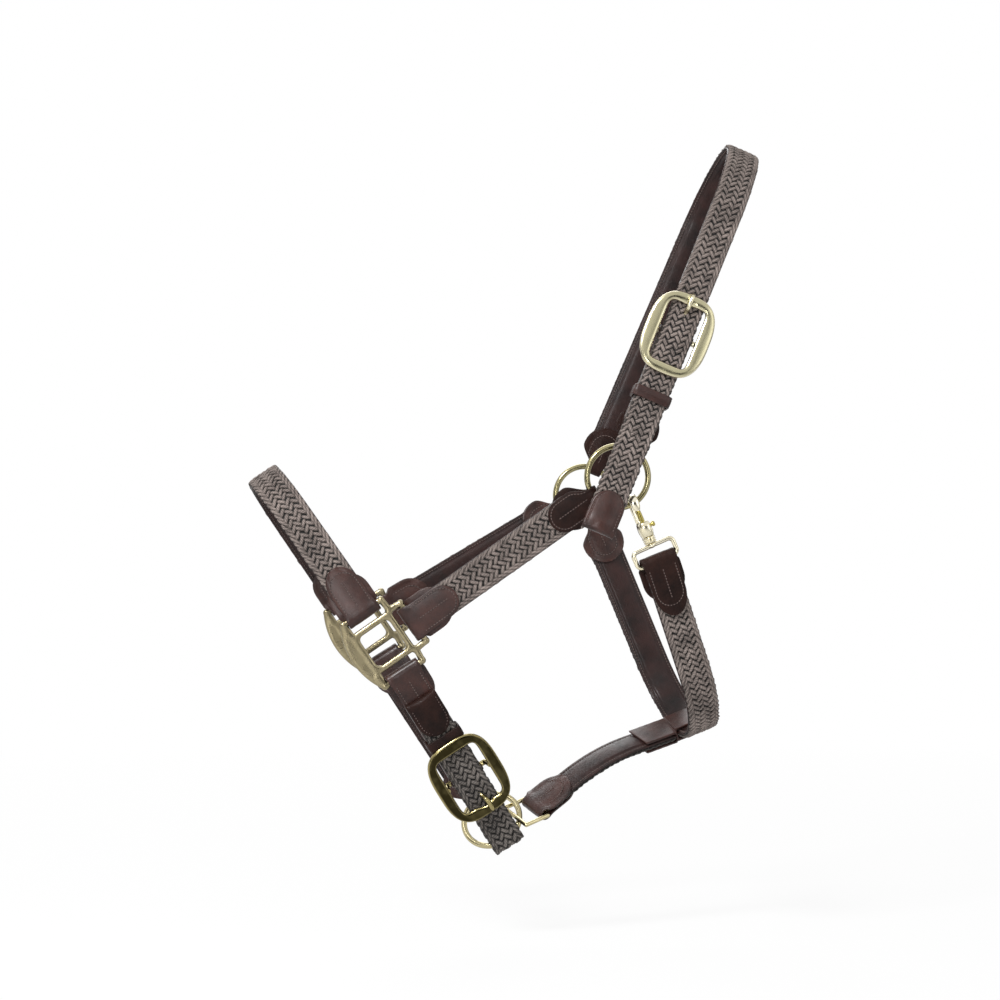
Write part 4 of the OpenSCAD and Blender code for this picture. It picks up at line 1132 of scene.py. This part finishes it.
snap = snap_run()
bend = np.radians(np.arange(-90, 91, 10))
hook_path = np.concatenate([[(17, -4.7), (12, -4.7), (6, -4.75), (2.5, -4.75)],
                            np.stack([-0.1 - HOOK_R * np.cos(bend), HOOK_R * np.sin(bend)], 1),
                            [(2.4, 4.7), (5.3, 4.7)]])
last = len(hook_path) - 1
hook_wire = np.interp(np.arange(last + 1), [0, 4, 13, last - 1, last], [1.7, 1.6, 1.75, 1.6, 1.0])
hook = tube(snap.at(hook_path[:, 0], hook_path[:, 1], 0), hook_wire, 20, up=snap.w, flat=2.0)
body = barrel(snap, [(13.8, 0.2, 4.2, 2.2), (14.4, 0.6, 6.0, 3.4), (15.6, 0.7, 6.9, 4.3),
                     (18.5, 0.7, 7.1, 4.8), (22, 0.6, 7.0, 4.8), (24.6, 0.4, 6.2, 4.3),
                     (25.8, 0.1, 4.8, 3.9), (26.2, 0, 3.2, 3.0)])
collar = lathe(snap, [(25.2, 3.0), (25.6, 4.3), (26.2, 4.6), (26.9, 4.6), (27.1, 4.0), (27.4, 4.0),
                      (27.6, 4.6), (28.3, 4.6), (28.5, 4.0), (28.8, 4.0), (29.0, 4.5), (29.7, 4.4),
                      (30.2, 3.8), (30.2, 2.1)])
add_piece("snap_hook_casting", join([hook, body, collar]), SNAP_BRASS, "snap_hook", sharp=45)
print("the hook's path has", len(hook_path), "points")

# %% [markdown]
# ## The bolt, its spring, and the loop
# The bolt and its thumb piece are turned from rod. The spring behind the bolt is hidden in the
# body; in the snap it shortens as the bolt goes back, and here it is drawn at one length. The
# loop is bent from wire round the stud's eye.

# %% Bolt, spring and loop
BOLT_Y = 4.7  # the bolt's line, off the snap's own line
SPRING_START, SPRING_LENGTH, SPRING_R, SPRING_WIRE = 19.75, 5.0, 1.15, 0.22

bolt = lathe(snap, [(5.7, 0.5), (5.75, 1.1), (6.2, 1.5), (7.0, 1.6), (12.6, 1.6), (12.8, 1.35),
                    (13.1, 1.35), (13.3, 1.6), (19.6, 1.6)], y=BOLT_Y, sides=20)
thumb_way = Run(snap.at(18.1, BOLT_Y, np.array([0.0, -12.0])), snap.n[:2], snap.t[0])
thumb = lathe(thumb_way, [(1.5, 1.0), (4.8, 1.2), (5.2, 1.25), (5.5, 1.75), (6.2, 1.9), (6.9, 1.8),
                          (7.4, 1.3), (7.55, 0.4)], sides=20)
add_piece("snap_bolt_turned", join([bolt, thumb]), BOLT_BRASS, "snap_bolt", sharp=45)


def rounded_loop(x0, x1, half, corner, points=8):
    """A rectangle with round corners as places along and across."""
    turn = np.linspace(0, np.pi / 2, points)
    path = []
    for k, (cx, cz) in enumerate(((x1 - corner, half - corner), (x0 + corner, half - corner),
                                  (x0 + corner, corner - half), (x1 - corner, corner - half))):
        a = turn + k * np.pi / 2
        path.append(np.stack([cx + corner * np.cos(a), cz + corner * np.sin(a)], 1))
    return np.concatenate(path)


loop_line = rounded_loop(32.2, 43.8, 15.1, 3.2)
loop_wire = tube(snap.at(loop_line[:, 0], 0, loop_line[:, 1]), 1.65, 16, loop=True, up=snap.n[0])
stud = lathe(snap, [(27.4, 0.4), (27.4, 2.7), (28.8, 2.7), (28.8, 1.8), (30.4, 1.8), (30.9, 2.7),
                    (31.6, 3.1), (32.6, 3.0), (33.6, 2.2), (34.0, 0.6)])
add_piece("snap_loop_wire", join([loop_wire, stud]), SNAP_BRASS, "snap_loop", sharp=45)
cast("jowl_link_wire", "jowl_link", BRASS, 0.32, 10)
cast("jowl_throat_leather", "jowl_throat_loop", LEATHER, 0.45, 8)

share = np.linspace(0, 1, 60)
turn = share * 30
coil = snap.at(SPRING_START + SPRING_LENGTH * share, BOLT_Y + SPRING_R * np.cos(turn),
               SPRING_R * np.sin(turn))
spring = add_piece("snap_spring_coil", tube(coil, SPRING_WIRE, 8, up=snap.t[0]), SNAP_BRASS, "snap_spring")
held_end = snap.at(SPRING_START + SPRING_LENGTH + SPRING_WIRE, BOLT_Y, 0) * MM
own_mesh(spring)
print("the spring has", round(turn[-1] / (2 * np.pi), 1), "turns in", SPRING_LENGTH, "mm")

# %% [markdown]
# ## Keepers
# A keeper is a band of thick leather closed round the straps, rounded where it turns. One flat
# section is carried round a rectangle with round corners.

# %% Keepers
KEEPER_HALF = 0.9  # half of its leather's thickness
KEEPER_CORNER = 2.2
TAIL_TOP = 8.0  # the outer face of the tail that it holds
POLL_KEEPER_S, CHIN_KEEPER_S = 39 - BAR_GAP, 55.6 - BAR_GAP


def keeper(name, node, run, s, gap, hide=LEATHER):
    """A band round the straps at s, with a gap between it and them."""
    edge = gap + KEEPER_HALF
    path = rounded_loop(-LINING_T - edge, TAIL_TOP + edge, STRAP_W / 2 + edge, KEEPER_CORNER, 6)[::-1]
    tan = tangents(path, loop=True)
    along, off = section([(0, 0.92), (2.1, 0.86), (2.7, 0.62), (3.5, 0.82), (4.0, 0.4), (4.0, -0.5)],
                         [(3.6, -0.85)])
    y = path[:, :1] - off * tan[:, 1:]
    z = path[:, 1:] + off * tan[:, :1]
    add_piece(name, loft(run.at(s + along, y, z), loop=True), hide, node, sharp=80)


keeper("poll_keeper_band", "poll_keeper", near_poll, POLL_KEEPER_S, 0.3)
keeper("chin_keeper_band", "chin_keeper", chin, CHIN_KEEPER_S, 0.0, SHADED_LEATHER)
print("the keepers lie", POLL_KEEPER_S, "and", CHIN_KEEPER_S, "mm along their straps")

# %% [markdown]
# ## Caps
# A cap closes the cut end of a plait: leather folded over the end and sewn round in a U. It is
# bent like a chape, and its top swells over the plait that is inside.

# %% Caps
CAP = Tab(STRAP_W, STRAP_W, 1.0, 30.0, 12.0)
CAP_Y = 8.6  # the level of its top
CAP_R = 2.2  # of its fold over the tail's end
CHIN_TAIL_LENGTH = 69.0  # from the cap's end to the buckle's centre bar


def cap(name, node, run, s0, hide=LEATHER):
    """A sewn cap on a tail's end, which lies at s0 on the run and runs on along it."""
    a = CAP.places()[::-1]
    a = a[a > 2]
    turn = np.radians(np.linspace(90, 200, 9))
    on, up = np.cos(turn), np.sin(turn)
    along, level, d_along, d_level, half = stations(
        (a, CAP_Y, 0, 1, CAP.half(a)),
        (1.6 + CAP_R * on, CAP_Y - CAP_R + CAP_R * up, on, up, STRAP_W / 2))
    z, d = section([(0, 1.0), (0.2, 0.95), (0.5, 0.8), (0.72, 0.5), (0.8, 0.35), (0.88, 0.55),
                    (0.97, 0.35), (1, -0.3)], [(0.9, -0.6)])
    z = half * z
    full = smoothstep(CAP.length, CAP.length - 10, along) * np.clip(1 - (z / 9.5) ** 2, 0, 1)
    ridge = 1 + 0.45 * np.exp(-((along - 6.5) / 3.0) ** 2)
    puff = 1.35 * full * ridge * (d > 0) * np.clip(d_level, 0, 1)
    tuck = 0.9 * np.clip(1 - (z / 12) ** 2, 0, 1) * smoothstep(4, -0.6, along)
    settle = -0.5 * smoothstep(8.8, 12, np.abs(z)) * (d_level > 0.5)
    y = level + d * d_level + settle + puff
    add_piece(name, loft(run.at(s0 + along + d * d_along + tuck, y, z)), hide, node, sharp=80)
    rows = tab_stitches(run, lambda v: s0 + np.asarray(v), CAP_Y + 0.5, CAP, True)
    sew(name + "_stitches", rows[:3], BODY[node], thread_for(hide))


chin_tail = chin.length + BAR_GAP - CHIN_TAIL_LENGTH
cap("poll_cap", "headpiece_cap", poll.flipped().raised(-TAIL_LEVEL), 0.0)
cap("chin_cap_leather", "chin_cap", chin, chin_tail, SHADED_LEATHER)
print("the chin cap starts", round(chin_tail, 1), "mm along its strap")

# %% [markdown]
# ## Surround and floor
# The light is plain, so that every finish looks as it is written. The surround is even and
# pale. It and the floor are white to the camera, and polished metal sees them as white too.

# %% Surround and floor
FLOOR_Z = -560.0
FLOOR_R = 6000.0
SURROUND_LIGHT = 0.27

scene = bpy.context.scene
scene.view_settings.view_transform = "Standard"

world = bpy.data.worlds.new("studio")
scene.world = world
world.use_nodes = True
world.node_tree.nodes.clear()
sky = Tree(world.node_tree)
ray = sky.node("LightPath").outputs
seen = sky.math("MAXIMUM", ray["Is Camera Ray"], ray["Is Transmission Ray"])
plain = sky.node("Background", WHITE, SURROUND_LIGHT)
bright = sky.node("Background", WHITE, 1.0)
unseen = sky.node("MixShader", ray["Is Glossy Ray"], plain, bright)
sky.node("OutputWorld", sky.node("MixShader", seen, unseen, bright))

paper = Finish("white_paper", Roughness=0.9, Base_Color=rgb((238, 238, 238)))
distance = paper.node("VectorMath", paper.node("TexCoord").outputs["Object"],
                      settings={"operation": "LENGTH"})
whiter = paper.span(distance.outputs["Value"], 0.6, 1.8, 0.9)
share = paper.math("MULTIPLY", paper.node("LightPath").outputs["Is Camera Ray"], whiter)
cover = paper.node("MixShader", share, paper.shader, paper.node("Emission", Strength=1.0))
paper.put(paper.tree.nodes["Material Output"].inputs["Surface"], cover)


def panel(name, corners, finish):
    """A flat panel of the stage, from its four corners in metres."""
    mesh = bpy.data.meshes.new(name)
    mesh.from_pydata([tuple(c) for c in corners], [], [(0, 1, 2, 3)])
    mesh.materials.append(finish.material)
    sheet = bpy.data.objects.new(name, mesh)
    scene.collection.objects.link(sheet)
    return sheet


SQUARE = ((-1, -1), (1, -1), (1, 1), (-1, 1))
panel("floor", [np.array((x * FLOOR_R, y * FLOOR_R, FLOOR_Z)) * MM for x, y in SQUARE], paper)
print("the floor lies", -FLOOR_Z, "mm below the frame's origin")

# %% [markdown]
# ## Cards, lamps and camera
# The lamps are broad and soft, with the strongest one high on the left. Dark cards round the
# headcollar, which only reflections see, draw the dark lines that make metal look like metal.
# The camera stands level with the headcollar's middle and has a long lens.

# %% Cards, lamps and camera
MIDDLE = Vector((-0.171, 0.0, -0.248))
card = Finish("black_card", Roughness=1.0, Specular_IOR_Level=0.0, Base_Color=rgb((18, 18, 18)))
for name, place, wide, high in (
    ("card_front", (-0.4, -3.2, -0.4), 3.2, 2.2),
    ("card_right", (2.4, -1.2, -0.2), 1.6, 2.2),
    ("card_left", (-3.0, -1.0, -0.3), 1.6, 2.0),
    ("card_back", (0.3, 3.2, -0.1), 3.2, 2.4),
):
    facing = unit([place[0] + 0.17, place[1], 0])
    side = np.array([-facing[1], facing[0], 0]) * wide / 2
    up = np.array([0, 0, high / 2])
    sheet = panel(name, [place + a * side + b * up for a, b in SQUARE], card)
    sheet.visible_camera = sheet.visible_diffuse = sheet.visible_shadow = False

for name, place, size, watts in (
    ("key", (-1.2, -1.2, 1.1), 0.5, 42),
    ("front", (-0.7, -2.6, -0.1), 0.5, 10),
    ("fill", (1.4, -1.2, 0.2), 1.2, 6),
    ("back", (-0.2, 1.6, 1.0), 1.2, 18),
):
    lamp = bpy.data.lights.new(name, "AREA")
    lamp.size = size
    lamp.energy = watts
    holder = bpy.data.objects.new(name, lamp)
    holder.location = place
    holder.rotation_euler = (MIDDLE - Vector(place)).to_track_quat("-Z", "Y").to_euler()
    scene.collection.objects.link(holder)

lens = bpy.data.cameras.new("camera")
lens.lens = 109.34
camera = bpy.data.objects.new("camera", lens)
camera.location = (-0.4581, -2.1587, -0.2477)
camera.rotation_euler = (math.radians(90), 0, math.radians(-7.5))
scene.collection.objects.link(camera)
scene.camera = camera
print("the camera stands", round((camera.location - MIDDLE).length, 2), "m from the headcollar's middle")
